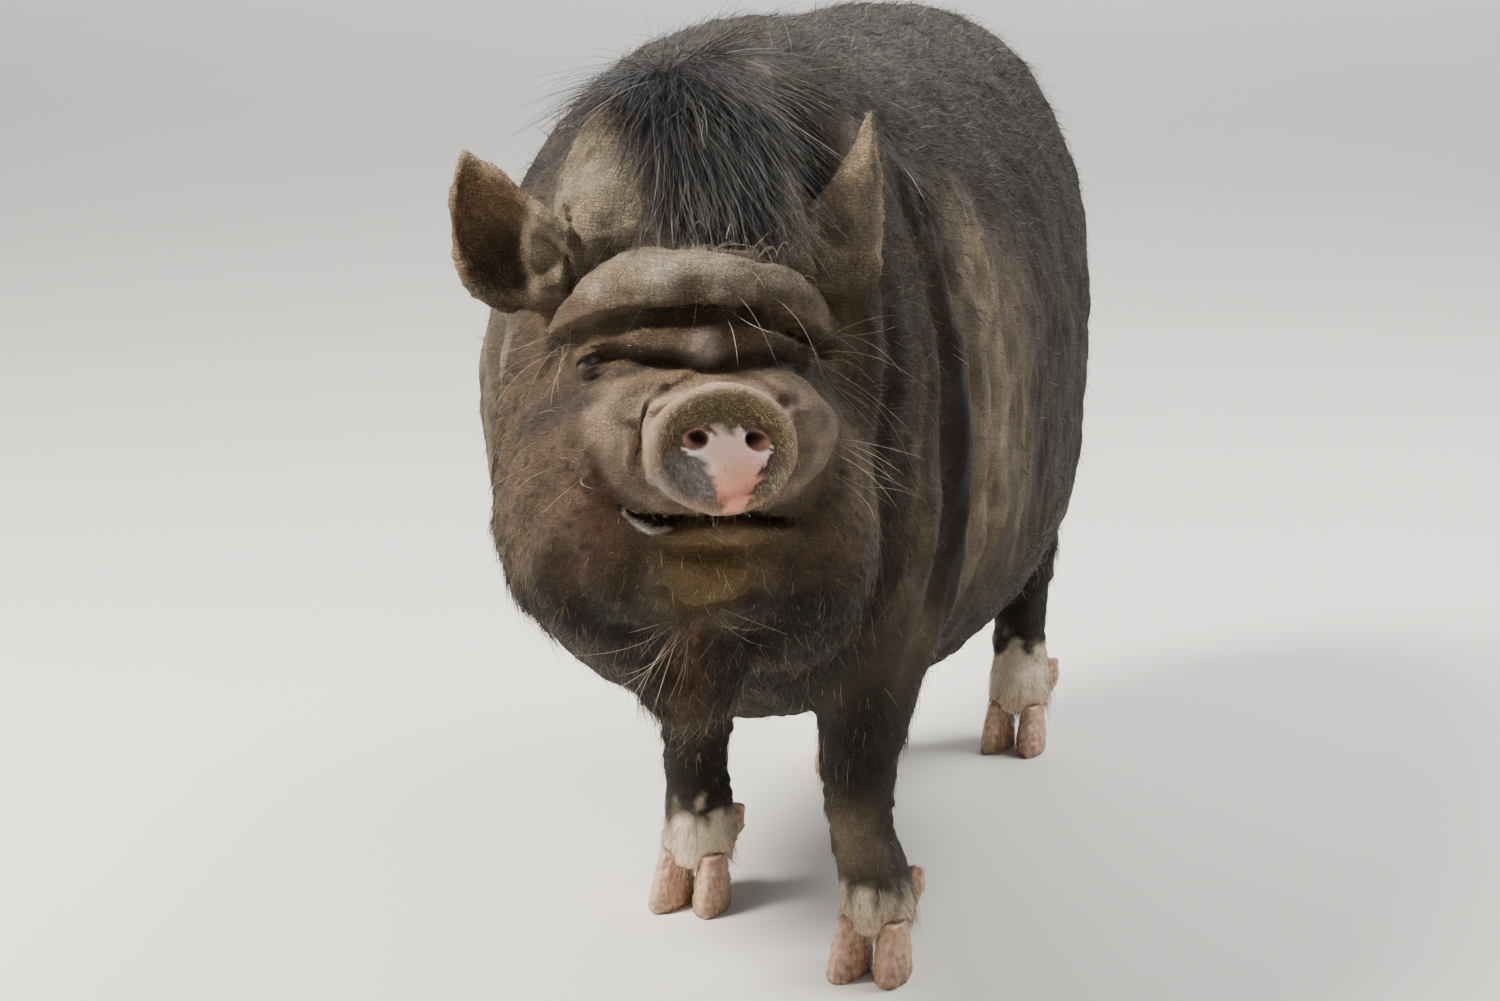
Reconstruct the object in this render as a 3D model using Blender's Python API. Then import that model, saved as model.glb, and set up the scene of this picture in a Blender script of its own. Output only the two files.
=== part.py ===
"""A standing pot-bellied pig, life size, as a still museum model.

Metres, +Z up.  The pig faces -Y and its left side is +X.  The flesh is
modelled whole from lofts and rounded lumps, joined into one surface, and
then parted with thin cuts, so that each named part is a closed solid.
"""
import math

import bmesh
import bpy
from mathutils import Matrix, Vector

# ---------------------------------------------------------------- sizes
GAP = 0.0003                  # space left between touching parts
VOXEL = 0.0050                # cell of the joined flesh surface
MASS_SMOOTHING = 22           # smoothing rounds of the body's mass
FOLD_SMOOTHING = 8            # smoothing rounds after the folds are added
TRUNK_TRIANGLES = 2000        # budgets of the joined flesh surface
HEAD_TRIANGLES = 4000
LEG_TRIANGLES = 1200
PIECE_TRIANGLES = {           # budgets of the parts cut from it
    "head": 2200, "muzzle": 420, "jaw": 330, "neck": 460, "chest": 540, "belly": 440, "rump": 600,
}
LIMB_TRIANGLES = {"leg": 170, "foot": 130}
HEAD_REACH = 0.19             # the head's radius about its centre
LEG_LEVEL = 0.168             # below this the surface is thinned with the legs
LEG_TOPS = {                  # where each leg is parted from the body
    "front_left": 0.168, "front_right": 0.142, "hind_left": 0.172, "hind_right": 0.152,
}
FOOT_TOP = 0.062              # where the feet are parted from the legs
FRONT_BLOCK = 0.052           # half width, front and back of the box that parts a leg, from its foot
HIND_BLOCK = 0.048
LEG_BLOCK_FRONT = 0.060
LEG_BLOCK_BACK = 0.070
BELOW_FLOOR = 0.010
BODY_SIDE = 0.300             # half width, front, and top of the boxes that part the body
BODY_FRONT = -0.500
BODY_TOP = 0.700
NECK_YAW = math.radians(18)
HEAD_BACK = 0.072             # the head's back, behind its centre
NECK_BACK = -0.225
CHEST_BACK = -0.060
BELLY_BACK = 0.150
MOUTH_LEVEL = -0.036          # from the head's centre
HEAD_BLOCK = ((-0.200, -0.300, -0.190), (0.200, HEAD_BACK, 0.300))
MUZZLE_BLOCK = ((-0.120, -0.200, MOUTH_LEVEL), (0.120, -0.060, 0.042))
JAW_BLOCK = ((-0.056, -0.200, -0.120), (0.056, -0.040, MOUTH_LEVEL - GAP))

HEAD_CENTRE = Vector((0.024, -0.355, 0.355))
HEAD_YAW = math.radians(30)   # turned to the pig's left
HEAD_PITCH = math.radians(10)  # nose up
JOWLS = {                     # half width from the midline, depth and height
    "left": (0.117, 0.078, 0.088),
    "right": (0.113, 0.076, 0.080),
}
JOWL_DROP = {"left": 0.013, "right": 0.0}
JOWL_CENTRE = 0.060
JOWL_LEVEL = -0.038
MUZZLE_SHIFT = 0.003          # the muzzle sits a little to the pig's left
DISK_THICKNESS = 0.014

FRONT_FEET = {"left": (0.110, -0.226), "right": (-0.040, -0.130)}
HIND_FEET = {"left": (0.066, 0.290), "right": (-0.034, 0.205)}
FRONT_SWAY = -0.012           # how far the forelegs lean to the pig's right above the feet
HIND_SWAY = -0.008
SWAY_FOOT = 0.040             # the lean starts at this height
SWAY_RISE = 0.050             # and is whole this much higher

EYE_RADIUS = 0.012
EYE_SPREAD = 0.058
EYE_FORWARD = 0.046
EYE_UP = 0.050

DISK_HALF_WIDTH = 0.0392
DISK_HALF_HEIGHT = 0.0365
DISK_FORWARD = 0.128          # front of the snout disk, from the head centre

NOSTRIL_SPREAD = 0.0195
NOSTRIL_UP = 0.008
NOSTRIL_SLANT = math.radians(25)
NOSTRIL_RADII = (0.0070, 0.0100, 0.0085)

# each ear's root, tip, the way its hollow faces, and the bow of its middle,
# in the head's frame
EARS = {
    "left": ((0.075, -0.006, 0.092), (0.118, 0.008, 0.188), (0.72, 0.69, 0.0), (-0.003, 0.0, 0.0)),
    "right": ((-0.070, 0.008, 0.102), (-0.123, -0.012, 0.174), (-0.50, -0.86, 0.05), (-0.007, 0.0, -0.005)),
}
EAR_HALF_WIDTH = 0.033
EAR_CUP = math.radians(88)    # half the arc of its section at the root
EAR_TIP_CUP = math.radians(48)
EAR_LOBES = ((0.098, 0.008, 0.084), (-0.086, 0.006, 0.088))
EAR_LOBE_RADII = (0.022, 0.018, 0.014)
EAR_ROOT_WIDTH = 0.75         # share of the full width, at the root
EAR_WIDEST = 0.3              # share of the ear's length where it is full
EAR_TIP_HALF_WIDTH = 0.0015
EAR_THICKNESS = 0.0055
EAR_ROWS = 8
EAR_COLUMNS = 7

# width, length and height of one claw
FRONT_CLAW = (0.0245, 0.052, 0.036)
HIND_CLAW = (0.0220, 0.048, 0.034)
CLAW_GAP = 0.0016             # half the cleft between two claws
CLAW_SHIFT = -0.022
CLAW_TURN = math.radians(7)
DEWCLAW_RADIUS = 0.0080
DEWCLAW_HEIGHT = 0.048
DEWCLAW_BACK = 0.024
DEWCLAW_SPREAD = 0.0145
DEWCLAW_TILT = math.radians(-28)

SIDES = {"left": 1, "right": -1}

# colour and roughness by the start of a part's name, and of all the others
HIDE_LOOK = ((0.16, 0.13, 0.11), 0.8)
LOOKS = (
    ("snout_disk", ((0.75, 0.45, 0.38), 0.55)),
    ("eye", ((0.03, 0.02, 0.015), 0.15)),
    ("claw", ((0.62, 0.42, 0.32), 0.6)),
    ("dewclaw", ((0.30, 0.20, 0.15), 0.6)),
    ("muzzle", ((0.30, 0.25, 0.22), 0.8)),
    ("jaw", ((0.22, 0.16, 0.08), 0.8)),
    ("ear", ((0.28, 0.22, 0.17), 0.8)),
    ("front_foot", ((0.55, 0.45, 0.36), 0.8)),
    ("hind_foot", ((0.60, 0.48, 0.42), 0.8)),
)
SHARP_ANGLE = math.radians(50)

head_place = (Matrix.Translation(HEAD_CENTRE)
              @ Matrix.Rotation(HEAD_YAW, 4, "Z")
              @ Matrix.Rotation(-HEAD_PITCH, 4, "X"))


# ---------------------------------------------------------------- helpers
def clear_scene():
    """Remove every object, so the model starts from nothing."""
    for obj in list(bpy.data.objects):
        bpy.data.objects.remove(obj, do_unlink=True)


def finish(obj):
    """Give a part its own plain Principled material, and shade it smooth."""
    colour, roughness = next((look for start, look in LOOKS if obj.name.startswith(start)), HIDE_LOOK)
    mat = bpy.data.materials.new(f"{obj.name}_finish")
    mat.use_nodes = True
    shader = mat.node_tree.nodes["Principled BSDF"]
    shader.inputs["Base Color"].default_value = (*colour, 1.0)
    shader.inputs["Roughness"].default_value = roughness
    mat.diffuse_color = (*colour, 1.0)
    obj.data.materials.clear()
    obj.data.materials.append(mat)
    obj.data.shade_smooth()
    obj.data.set_sharp_from_angle(angle=SHARP_ANGLE)


def add_object(name, bm):
    """Turn a bmesh into a named object in the scene."""
    bmesh.ops.recalc_face_normals(bm, faces=bm.faces)
    mesh = bpy.data.meshes.new(name)
    bm.to_mesh(mesh)
    bm.free()
    obj = bpy.data.objects.new(name, mesh)
    bpy.context.scene.collection.objects.link(obj)
    return obj


def settle(obj):
    """Replace an object's mesh by its evaluated one and drop the modifiers."""
    bpy.context.view_layer.update()
    graph = bpy.context.evaluated_depsgraph_get()
    mesh = bpy.data.meshes.new_from_object(obj.evaluated_get(graph))
    obj.modifiers.clear()
    obj.data = mesh
    return obj


def boolean(obj, tool, operation):
    """Cut or trim an object with another one."""
    mod = obj.modifiers.new(operation.lower(), "BOOLEAN")
    mod.operation = operation
    mod.solver = "EXACT"
    mod.object = tool
    settle(obj)


def copy_of(obj, name):
    """A separate copy of an object with its own mesh."""
    twin = obj.copy()
    twin.data = obj.data.copy()
    twin.name = name
    bpy.context.scene.collection.objects.link(twin)
    return twin


def swollen(obj, amount):
    """A copy of an object grown outwards by a small amount, used as a tool."""
    twin = copy_of(obj, "tool")
    grow = twin.modifiers.new("grow", "DISPLACE")
    grow.mid_level = 0.0
    grow.strength = amount
    return settle(twin)


def discard(obj):
    bpy.data.objects.remove(obj, do_unlink=True)


def lump(bm, centre, radii, place=Matrix()):
    """An ellipsoid added to a mesh of overlapping lumps."""
    matrix = place @ Matrix.Translation(centre) @ Matrix.Diagonal((*radii, 1.0))
    bmesh.ops.create_icosphere(bm, subdivisions=3, radius=1.0, matrix=matrix)


def ring_edges(bm, matrix, segments, shape=None):
    """One ring of a loft.  The optional shape moves its unit circle's points."""
    made = bmesh.ops.create_circle(bm, segments=segments, radius=1.0)
    for vert in made["verts"]:
        if shape is not None:
            vert.co = shape(vert.co)
        vert.co = matrix @ vert.co
    return list({edge for vert in made["verts"] for edge in vert.link_edges})


def loft(bm, rings):
    """Bridge a row of rings and close both ends."""
    for first, second in zip(rings, rings[1:]):
        bmesh.ops.bridge_loops(bm, edges=first + second)
    for end in (rings[0], rings[-1]):
        bmesh.ops.edgeloop_fill(bm, edges=end)


def tube(bm, points, radii, place=Matrix(), segments=16):
    """A round loft through points, with a (wide, deep) radius at each."""
    rings = []
    for index, point in enumerate(points):
        before = points[max(index - 1, 0)]
        after = points[min(index + 1, len(points) - 1)]
        run = (Vector(after) - Vector(before)).normalized()
        facing = run.to_track_quat("Z", "Y").to_matrix().to_4x4()
        wide, deep = radii[index]
        size = Matrix.Diagonal((wide, deep, 1.0, 1.0))
        matrix = place @ Matrix.Translation(point) @ facing @ size
        rings.append(ring_edges(bm, matrix, segments))
    loft(bm, rings)


def roll(bm, ends, bow, radius, place=Matrix(), count=13):
    """A fat fold of skin: a bowed sausage with rounded ends."""
    left, right = Vector(ends[0]), Vector(ends[1])
    points = []
    radii = []
    for index in range(count):
        along = index / (count - 1)
        points.append(left.lerp(right, along) + Vector(bow) * math.sin(math.pi * along))
        size = radius * max(1.0 - abs(2.0 * along - 1.0) ** 5, 0.05) ** 0.5
        radii.append((size, size))
    tube(bm, points, radii, place, segments=14)


# ---------------------------------------------------------------- trunk
# From the neck's base to the buttocks: place along the body, sideways
# bend of the spine, top, widest level, bottom and half width.
TRUNK = (
    (-0.335, 0.016, 0.512, 0.370, 0.240, 0.086),
    (-0.285, 0.006, 0.550, 0.355, 0.185, 0.121),
    (-0.225, -0.003, 0.572, 0.335, 0.150, 0.149),
    (-0.140, -0.006, 0.580, 0.315, 0.130, 0.166),
    (-0.050, -0.008, 0.568, 0.300, 0.118, 0.174),
    (0.045, -0.010, 0.558, 0.300, 0.114, 0.174),
    (0.135, -0.014, 0.554, 0.315, 0.117, 0.163),
    (0.215, -0.018, 0.551, 0.350, 0.142, 0.147),
    (0.290, -0.020, 0.534, 0.374, 0.190, 0.126),
    (0.350, -0.020, 0.503, 0.380, 0.245, 0.100),
    (0.392, -0.020, 0.463, 0.380, 0.290, 0.067),
    (0.410, -0.020, 0.425, 0.378, 0.325, 0.032),
)
BELLY_SQUARENESS = 0.88       # below 1 makes the lower half fuller than an ellipse
BACK_SQUARENESS = 0.95
TAIL_X = -0.020               # the rump's middle, where the tail hangs
# Radii of the masses over the tops of the legs.
SHOULDER = (0.080, 0.095, 0.135)
UPPER_ARM = (0.050, 0.062, 0.080)
HAUNCH = (0.056, 0.106, 0.135)
THIGH = (0.040, 0.070, 0.080)


def trunk_shape(half_width, top, wide_level, bottom):
    """Maps a unit circle to the trunk's section, fuller below."""
    def shape(co):
        power = BACK_SQUARENESS if co.y > 0 else BELLY_SQUARENESS
        side = math.copysign(abs(co.x) ** power, co.x) * half_width
        rise = math.copysign(abs(co.y) ** power, co.y)
        level = wide_level + rise * (top - wide_level if rise > 0 else wide_level - bottom)
        return Vector((side, 0.0, level))
    return shape


def add_trunk(bm):
    """Chest, belly and rump as one loft, with shoulders and haunches on it."""
    rings = []
    for along, bend, top, wide_level, bottom, half_width in TRUNK:
        matrix = Matrix.Translation((bend, along, 0.0))
        shape = trunk_shape(half_width, top, wide_level, bottom)
        rings.append(ring_edges(bm, matrix, 40, shape))
    loft(bm, rings)
    for side, sign in SIDES.items():
        across, along = FRONT_FEET[side]
        lump(bm, (0.076 * sign, along + 0.045, 0.310), SHOULDER)
        lump(bm, (0.85 * across, along + 0.035, 0.235), UPPER_ARM)
        across, along = HIND_FEET[side]
        lump(bm, (TAIL_X + 0.056 * sign, along - 0.015, 0.340), HAUNCH)
        lump(bm, (0.75 * across, along - 0.010, 0.235), THIGH)


# The neck's line from the shoulders to the head, and its half widths.
NECK_LINE = ((0.000, -0.200, 0.365), (0.008, -0.262, 0.378), (0.018, -0.320, 0.385))
NECK_RADII = ((0.150, 0.180), (0.130, 0.165), (0.110, 0.150))
NECK_FOLD = ((0.060, -0.262, 0.385), (0.074, 0.072, 0.125))


def add_neck(bm):
    """The thick neck, with the fold that the turned head pushes up on the left."""
    tube(bm, NECK_LINE, NECK_RADII, segments=28)
    lump(bm, *NECK_FOLD)


# ---------------------------------------------------------------- head
# Centre and radii of each rounded mass, in the head's frame.
SKULL = (
    ((0.005, 0.036, 0.084), (0.076, 0.098, 0.100)),     # forehead
    ((0.006, 0.052, 0.130), (0.068, 0.074, 0.088)),     # poll
    ((-0.030, 0.004, 0.114), (0.044, 0.046, 0.050)),    # bulges above the brow
    ((0.044, 0.008, 0.108), (0.042, 0.046, 0.048)),
    ((0.000, -0.004, 0.010), (0.092, 0.074, 0.082)),    # middle of the face
    ((0.000, 0.050, -0.005), (0.106, 0.078, 0.120)),    # back of the cheeks
    ((0.000, 0.020, -0.080), (0.078, 0.066, 0.066)),    # throat
    ((0.000, -0.030, -0.056), (0.062, 0.060, 0.052)),   # lower jaw
    ((MUZZLE_SHIFT, -0.044, 0.003), (0.080, 0.056, 0.051)),
)
CHEEK = ((0.046, -0.022, -0.030), (0.050, 0.056, 0.066))
LIP = ((0.002, -0.072, -0.044), (0.043, 0.032, 0.016))
CHIN = ((-0.004, -0.060, -0.064), (0.037, 0.036, 0.028))
DEWLAP = ((0.000, 0.010, -0.122), (0.036, 0.040, 0.052))
# Ends, bow and thickness of each roll of skin, in the head's frame.
BROW = ((-0.078, -0.016, 0.062), (0.082, -0.014, 0.058)), (0.0, -0.056, 0.033), 0.046
NOSE_FOLD = ((-0.060, -0.040, 0.046), (0.062, -0.040, 0.046)), (0.0, -0.038, 0.009), 0.030
MUZZLE_PADS = (               # either side of the disk, from their middles
    ((-0.034, -0.058, 0.004), (0.050, 0.0550, 0.041)),
    ((0.030, -0.058, 0.002), (0.042, 0.0550, 0.039)),
)
# How far forward the muzzle's rings are, and how much wider than the disk.
MUZZLE_RINGS = ((0.060, 0.012), (0.088, 0.004), (DISK_FORWARD - DISK_THICKNESS, -0.001))


def add_skull(bm):
    """Skull, cheeks, muzzle and jowls, in the head's own frame."""
    for centre, radii in SKULL:
        lump(bm, centre, radii, head_place)
    for side, (wide, deep, tall) in JOWLS.items():
        sign = SIDES[side]
        centre = (JOWL_CENTRE * sign, 0.002, JOWL_LEVEL - JOWL_DROP[side])
        lump(bm, centre, (wide - JOWL_CENTRE, deep, tall), head_place)
        (out, along, up), radii = CHEEK
        lump(bm, (out * sign, along, up), radii, head_place)
    for centre in EAR_LOBES:
        lump(bm, centre, EAR_LOBE_RADII, head_place)


def add_folds(bm):
    """What stands out of the face: brow, nose folds, muzzle, lip, chin and dewlap."""
    for ends, bow, thickness in (BROW, NOSE_FOLD):
        roll(bm, ends, bow, thickness / 2, head_place)
    points = [(MUZZLE_SHIFT, -forward, 0.0) for forward, _ in MUZZLE_RINGS]
    radii = [(DISK_HALF_WIDTH + wider, DISK_HALF_HEIGHT + wider) for _, wider in MUZZLE_RINGS]
    tube(bm, points, radii, head_place, segments=28)
    for centre, radii in (*MUZZLE_PADS, LIP, CHIN, DEWLAP):
        lump(bm, centre, radii, head_place)


# ---------------------------------------------------------------- legs
# Height, sideways and lengthways shift from the foot, and the two radii.
FRONT_LEG = (
    (0.270, -0.020, 0.034, 0.044, 0.060),
    (0.215, -0.008, 0.030, 0.040, 0.052),
    (0.165, -0.003, 0.020, 0.031, 0.039),
    (0.125, -0.006, 0.010, 0.0245, 0.0290),
    (0.090, -0.005, 0.008, 0.0205, 0.0235),
    (0.062, -0.002, 0.006, 0.0230, 0.0255),
    (0.042, 0.000, -0.004, 0.0245, 0.0265),
    (0.026, 0.000, -0.012, 0.0240, 0.0260),
)
HIND_LEG = (
    (0.290, -0.024, -0.012, 0.048, 0.080),
    (0.230, -0.010, -0.006, 0.044, 0.066),
    (0.180, -0.003, 0.012, 0.034, 0.046),
    (0.140, 0.000, 0.026, 0.0255, 0.0350),
    (0.110, 0.000, 0.022, 0.0210, 0.0275),
    (0.080, 0.000, 0.012, 0.0195, 0.0220),
    (0.058, 0.000, 0.004, 0.0215, 0.0240),
    (0.042, 0.000, -0.005, 0.0230, 0.0250),
    (0.026, 0.000, -0.012, 0.0225, 0.0245),
)


def add_leg(bm, stations, foot, sign, sway):
    """A leg from inside the body down to the foot."""
    rings = []
    for height, side, along, wide, deep in stations:
        lean = sway * min(max((height - SWAY_FOOT) / SWAY_RISE, 0.0), 1.0)
        centre = Vector((foot[0] + side * sign + lean, foot[1] + along, height))
        matrix = Matrix.Translation(centre) @ Matrix.Diagonal((wide, deep, 1.0, 1.0))
        rings.append(ring_edges(bm, matrix, 20))
    loft(bm, rings)


# ---------------------------------------------------------------- flesh
def fuse(obj, rounds):
    """Join overlapping shells into one closed surface and ease its creases."""
    join = obj.modifiers.new("join", "REMESH")
    join.mode = "VOXEL"
    join.voxel_size = VOXEL
    ease = obj.modifiers.new("ease", "SMOOTH")
    ease.factor = 0.5
    ease.iterations = rounds
    return settle(obj)


def make_flesh():
    """All the soft parts as one surface: a smooth mass, then what stands out."""
    bm = bmesh.new()
    add_trunk(bm)
    add_neck(bm)
    add_skull(bm)
    mass = fuse(add_object("mass", bm), MASS_SMOOTHING)
    bm = bmesh.new()
    bm.from_mesh(mass.data)
    discard(mass)
    add_folds(bm)
    for side, sign in SIDES.items():
        add_leg(bm, FRONT_LEG, FRONT_FEET[side], sign, FRONT_SWAY)
        add_leg(bm, HIND_LEG, HIND_FEET[side], sign, HIND_SWAY)
    flesh = fuse(add_object("flesh", bm), FOLD_SMOOTHING)
    thin_out(flesh, TRUNK_TRIANGLES, is_trunk)
    thin_out(flesh, HEAD_TRIANGLES, is_head)
    thin_out(flesh, LEG_TRIANGLES, is_leg)
    return flesh


def is_head(co):
    return (co - HEAD_CENTRE).length < HEAD_REACH


def is_leg(co):
    return co.z < LEG_LEVEL and not is_head(co)


def is_trunk(co):
    return not is_head(co) and not is_leg(co)


def thin_out(obj, triangles, chosen=lambda co: True):
    """Collapse edges in the chosen stretch until it has so many triangles."""
    mesh = obj.data
    picked = {vert.index for vert in mesh.vertices if chosen(vert.co)}
    present = 0
    inside = 0
    for face in mesh.polygons:
        present += len(face.vertices) - 2
        if picked.issuperset(face.vertices):
            inside += len(face.vertices) - 2
    group = obj.vertex_groups.new(name="thin")
    group.add(sorted(picked), 1.0, "REPLACE")
    thin = obj.modifiers.new("thin", "DECIMATE")
    thin.ratio = (present - inside + triangles) / present
    thin.vertex_group = group.name
    settle(obj)
    obj.vertex_groups.clear()


# ---------------------------------------------------------------- parting
def block(centre, size, place=Matrix(), grow=0.0):
    """A box used as a cutting tool."""
    bm = bmesh.new()
    sides = [length + 2.0 * grow for length in size]
    matrix = place @ Matrix.Translation(centre) @ Matrix.Diagonal((*sides, 1.0))
    bmesh.ops.create_cube(bm, size=1.0, matrix=matrix)
    return add_object("tool", bm)


def part_off(body, name, centre, size, place=Matrix()):
    """Cut what lies inside a box off the body, as a part of its own."""
    piece = copy_of(body, name)
    tool = block(centre, size, place)
    boolean(piece, tool, "INTERSECT")
    discard(tool)
    tool = block(centre, size, place, GAP)
    boolean(body, tool, "DIFFERENCE")
    discard(tool)
    return piece


def seat(piece, host):
    """Trim a piece where it enters its host, leaving the thin gap."""
    tool = swollen(host, GAP)
    boolean(piece, tool, "DIFFERENCE")
    discard(tool)


def cut_between(lowest, highest):
    """Centre and size of the box between two corners."""
    low, high = Vector(lowest), Vector(highest)
    return (low + high) / 2.0, high - low


def part_flesh(flesh):
    """Divide the joined flesh where a person would name its parts."""
    parts = {}
    for side in SIDES:
        for name, feet, half in (("front", FRONT_FEET, FRONT_BLOCK), ("hind", HIND_FEET, HIND_BLOCK)):
            foot = feet[side]
            low = (foot[0] - half, foot[1] - LEG_BLOCK_FRONT, -BELOW_FLOOR)
            high = (foot[0] + half, foot[1] + LEG_BLOCK_BACK, LEG_TOPS[f"{name}_{side}"])
            leg_name = f"{name}_leg_{side}"
            leg = part_off(flesh, leg_name, *cut_between(low, high))
            high = (*high[:2], FOOT_TOP)
            foot_name = f"{name}_foot_{side}"
            parts[foot_name] = part_off(leg, foot_name, *cut_between(low, high))
            parts[leg_name] = leg
    neck_line = Matrix.Translation(HEAD_CENTRE) @ Matrix.Rotation(NECK_YAW, 4, "Z")
    head = part_off(flesh, "head", *cut_between(*HEAD_BLOCK), neck_line)
    for name, back in (("neck", NECK_BACK), ("chest", CHEST_BACK), ("belly", BELLY_BACK)):
        corners = ((-BODY_SIDE, BODY_FRONT, 0.0), (BODY_SIDE, back, BODY_TOP))
        parts[name] = part_off(flesh, name, *cut_between(*corners))
    flesh.name = "rump"
    parts["rump"] = flesh
    parts["muzzle"] = part_off(head, "muzzle", *cut_between(*MUZZLE_BLOCK), head_place)
    parts["jaw"] = part_off(head, "jaw", *cut_between(*JAW_BLOCK), head_place)
    parts["head"] = head
    for name, obj in parts.items():
        limb = name.split("_")[1] if "_" in name else None
        thin_out(obj, LIMB_TRIANGLES[limb] if limb else PIECE_TRIANGLES[name])
    return parts


# ---------------------------------------------------------------- snout disk
# How far forward of its back, in thicknesses, and how wide, in half widths.
DISK_PROFILE = (
    (0.0, 0.93), (0.25, 1.02), (0.60, 1.06), (0.90, 1.02), (1.0, 0.92), (0.93, 0.80), (0.86, 0.60),
)


def make_disk():
    """The snout's round end: a rimmed pad with two slanting nostrils."""
    bm = bmesh.new()
    back = Vector((MUZZLE_SHIFT, DISK_THICKNESS - DISK_FORWARD - GAP, 0.0))
    rings = []
    for forward, share in DISK_PROFILE:
        centre = back + Vector((0.0, -forward * DISK_THICKNESS, 0.0))
        size = Matrix.Diagonal((DISK_HALF_WIDTH * share, DISK_HALF_HEIGHT * share, 1.0, 1.0))
        matrix = head_place @ Matrix.Translation(centre) @ Matrix.Rotation(math.pi / 2, 4, "X") @ size
        rings.append(ring_edges(bm, matrix, 26))
    loft(bm, rings)
    disk = add_object("snout_disk", bm)
    for sign in SIDES.values():
        bm = bmesh.new()
        spot = (MUZZLE_SHIFT + NOSTRIL_SPREAD * sign, -DISK_FORWARD, NOSTRIL_UP)
        place = (head_place @ Matrix.Translation(spot)
                 @ Matrix.Rotation(NOSTRIL_SLANT * sign, 4, "Y"))
        matrix = place @ Matrix.Diagonal((*NOSTRIL_RADII, 1.0))
        bmesh.ops.create_icosphere(bm, subdivisions=2, radius=1.0, matrix=matrix)
        tool = add_object("tool", bm)
        boolean(disk, tool, "DIFFERENCE")
        discard(tool)
    return disk


# ---------------------------------------------------------------- ears
def make_ear(name, root, tip, hollow, bow):
    """A pointed, cupped ear: a leaf whose edges roll towards its hollow side."""
    bm = bmesh.new()
    root, tip = Vector(root), Vector(tip)
    along = (tip - root).normalized()
    across = along.cross(Vector(hollow)).normalized()
    inward = across.cross(along).normalized()
    grid = []
    for row in range(EAR_ROWS + 1):
        u = row / EAR_ROWS
        opening = EAR_ROOT_WIDTH + (1.0 - EAR_ROOT_WIDTH) * min(u / EAR_WIDEST, 1.0)
        width = EAR_HALF_WIDTH * opening * (1.0 - u ** 2.2) ** 0.9 + EAR_TIP_HALF_WIDTH
        curl = EAR_CUP + (EAR_TIP_CUP - EAR_CUP) * u
        arc_radius = width / math.sin(curl)
        centre = root.lerp(tip, u) + Vector(bow) * math.sin(math.pi * u)
        line = []
        for column in range(EAR_COLUMNS + 1):
            turn = curl * (2.0 * column / EAR_COLUMNS - 1.0)
            point = centre + across * arc_radius * math.sin(turn)
            point += inward * arc_radius * (1.0 - math.cos(turn))
            line.append(bm.verts.new(head_place @ point))
        grid.append(line)
    for low, high in zip(grid, grid[1:]):
        for index in range(EAR_COLUMNS):
            bm.faces.new((low[index], low[index + 1], high[index + 1], high[index]))
    ear = add_object(name, bm)
    wall = ear.modifiers.new("wall", "SOLIDIFY")
    wall.thickness = EAR_THICKNESS
    wall.offset = 0.0
    wall.use_even_offset = True
    return settle(ear)


# ---------------------------------------------------------------- eyes
def make_eye(name, sign, head):
    """An eyeball, and the socket that it sits in."""
    centre = (EYE_SPREAD * sign, -EYE_FORWARD, EYE_UP)
    for grow, role in ((GAP, "socket"), (0.0, name)):
        bm = bmesh.new()
        matrix = head_place @ Matrix.Translation(centre) @ Matrix.Rotation(math.pi / 2, 4, "X")
        bmesh.ops.create_uvsphere(bm, u_segments=12, v_segments=8, radius=EYE_RADIUS + grow, matrix=matrix)
        ball = add_object(role, bm)
        if role == "socket":
            boolean(head, ball, "DIFFERENCE")
            discard(ball)
    return ball


# ---------------------------------------------------------------- claws
# Height, width, length and backward shift of a claw's rings, in shares of its own.
CLAW_LEVELS = (
    (0.0, 0.94, 0.96, 0.0), (0.12, 1.0, 1.0, 0.0), (0.55, 0.92, 0.86, 0.10), (1.0, 0.66, 0.62, 0.24),
)
DEWCLAW_LEVELS = ((0.010, 0.75), (-0.004, 1.0), (-0.016, 0.40))
TOE_TAPER = 0.18


def make_claw(name, centre, turn, size):
    """A cloven hoof's claw: a rounded wedge with a flat sole."""
    bm = bmesh.new()
    width, length, height = size
    place = Matrix.Translation((*centre, 0.0)) @ Matrix.Rotation(turn, 4, "Z")
    rings = []
    for level, wide, long, back in CLAW_LEVELS:
        spot = Matrix.Translation((0.0, back * length / 2.0, level * height))
        scale = Matrix.Diagonal((wide * width / 2.0, long * length / 2.0, 1.0, 1.0))
        rings.append(ring_edges(bm, place @ spot @ scale, 10, claw_outline))
    loft(bm, rings)
    return add_object(name, bm)


def claw_outline(co):
    """Narrows a unit circle towards the toe, which points to -Y."""
    toe = max(-co.y, 0.0)
    return Vector((co.x * (1.0 - TOE_TAPER * toe), co.y, 0.0))


def make_dewclaw(name, centre):
    """A small blunt cone behind the foot, pointing down and back."""
    bm = bmesh.new()
    tilt = Matrix.Rotation(DEWCLAW_TILT, 4, "X")
    rings = []
    for level, share in DEWCLAW_LEVELS:
        matrix = (Matrix.Translation(centre) @ tilt @ Matrix.Translation((0.0, 0.0, level))
                  @ Matrix.Scale(DEWCLAW_RADIUS * share, 4))
        rings.append(ring_edges(bm, matrix, 6))
    loft(bm, rings)
    return add_object(name, bm)


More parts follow.
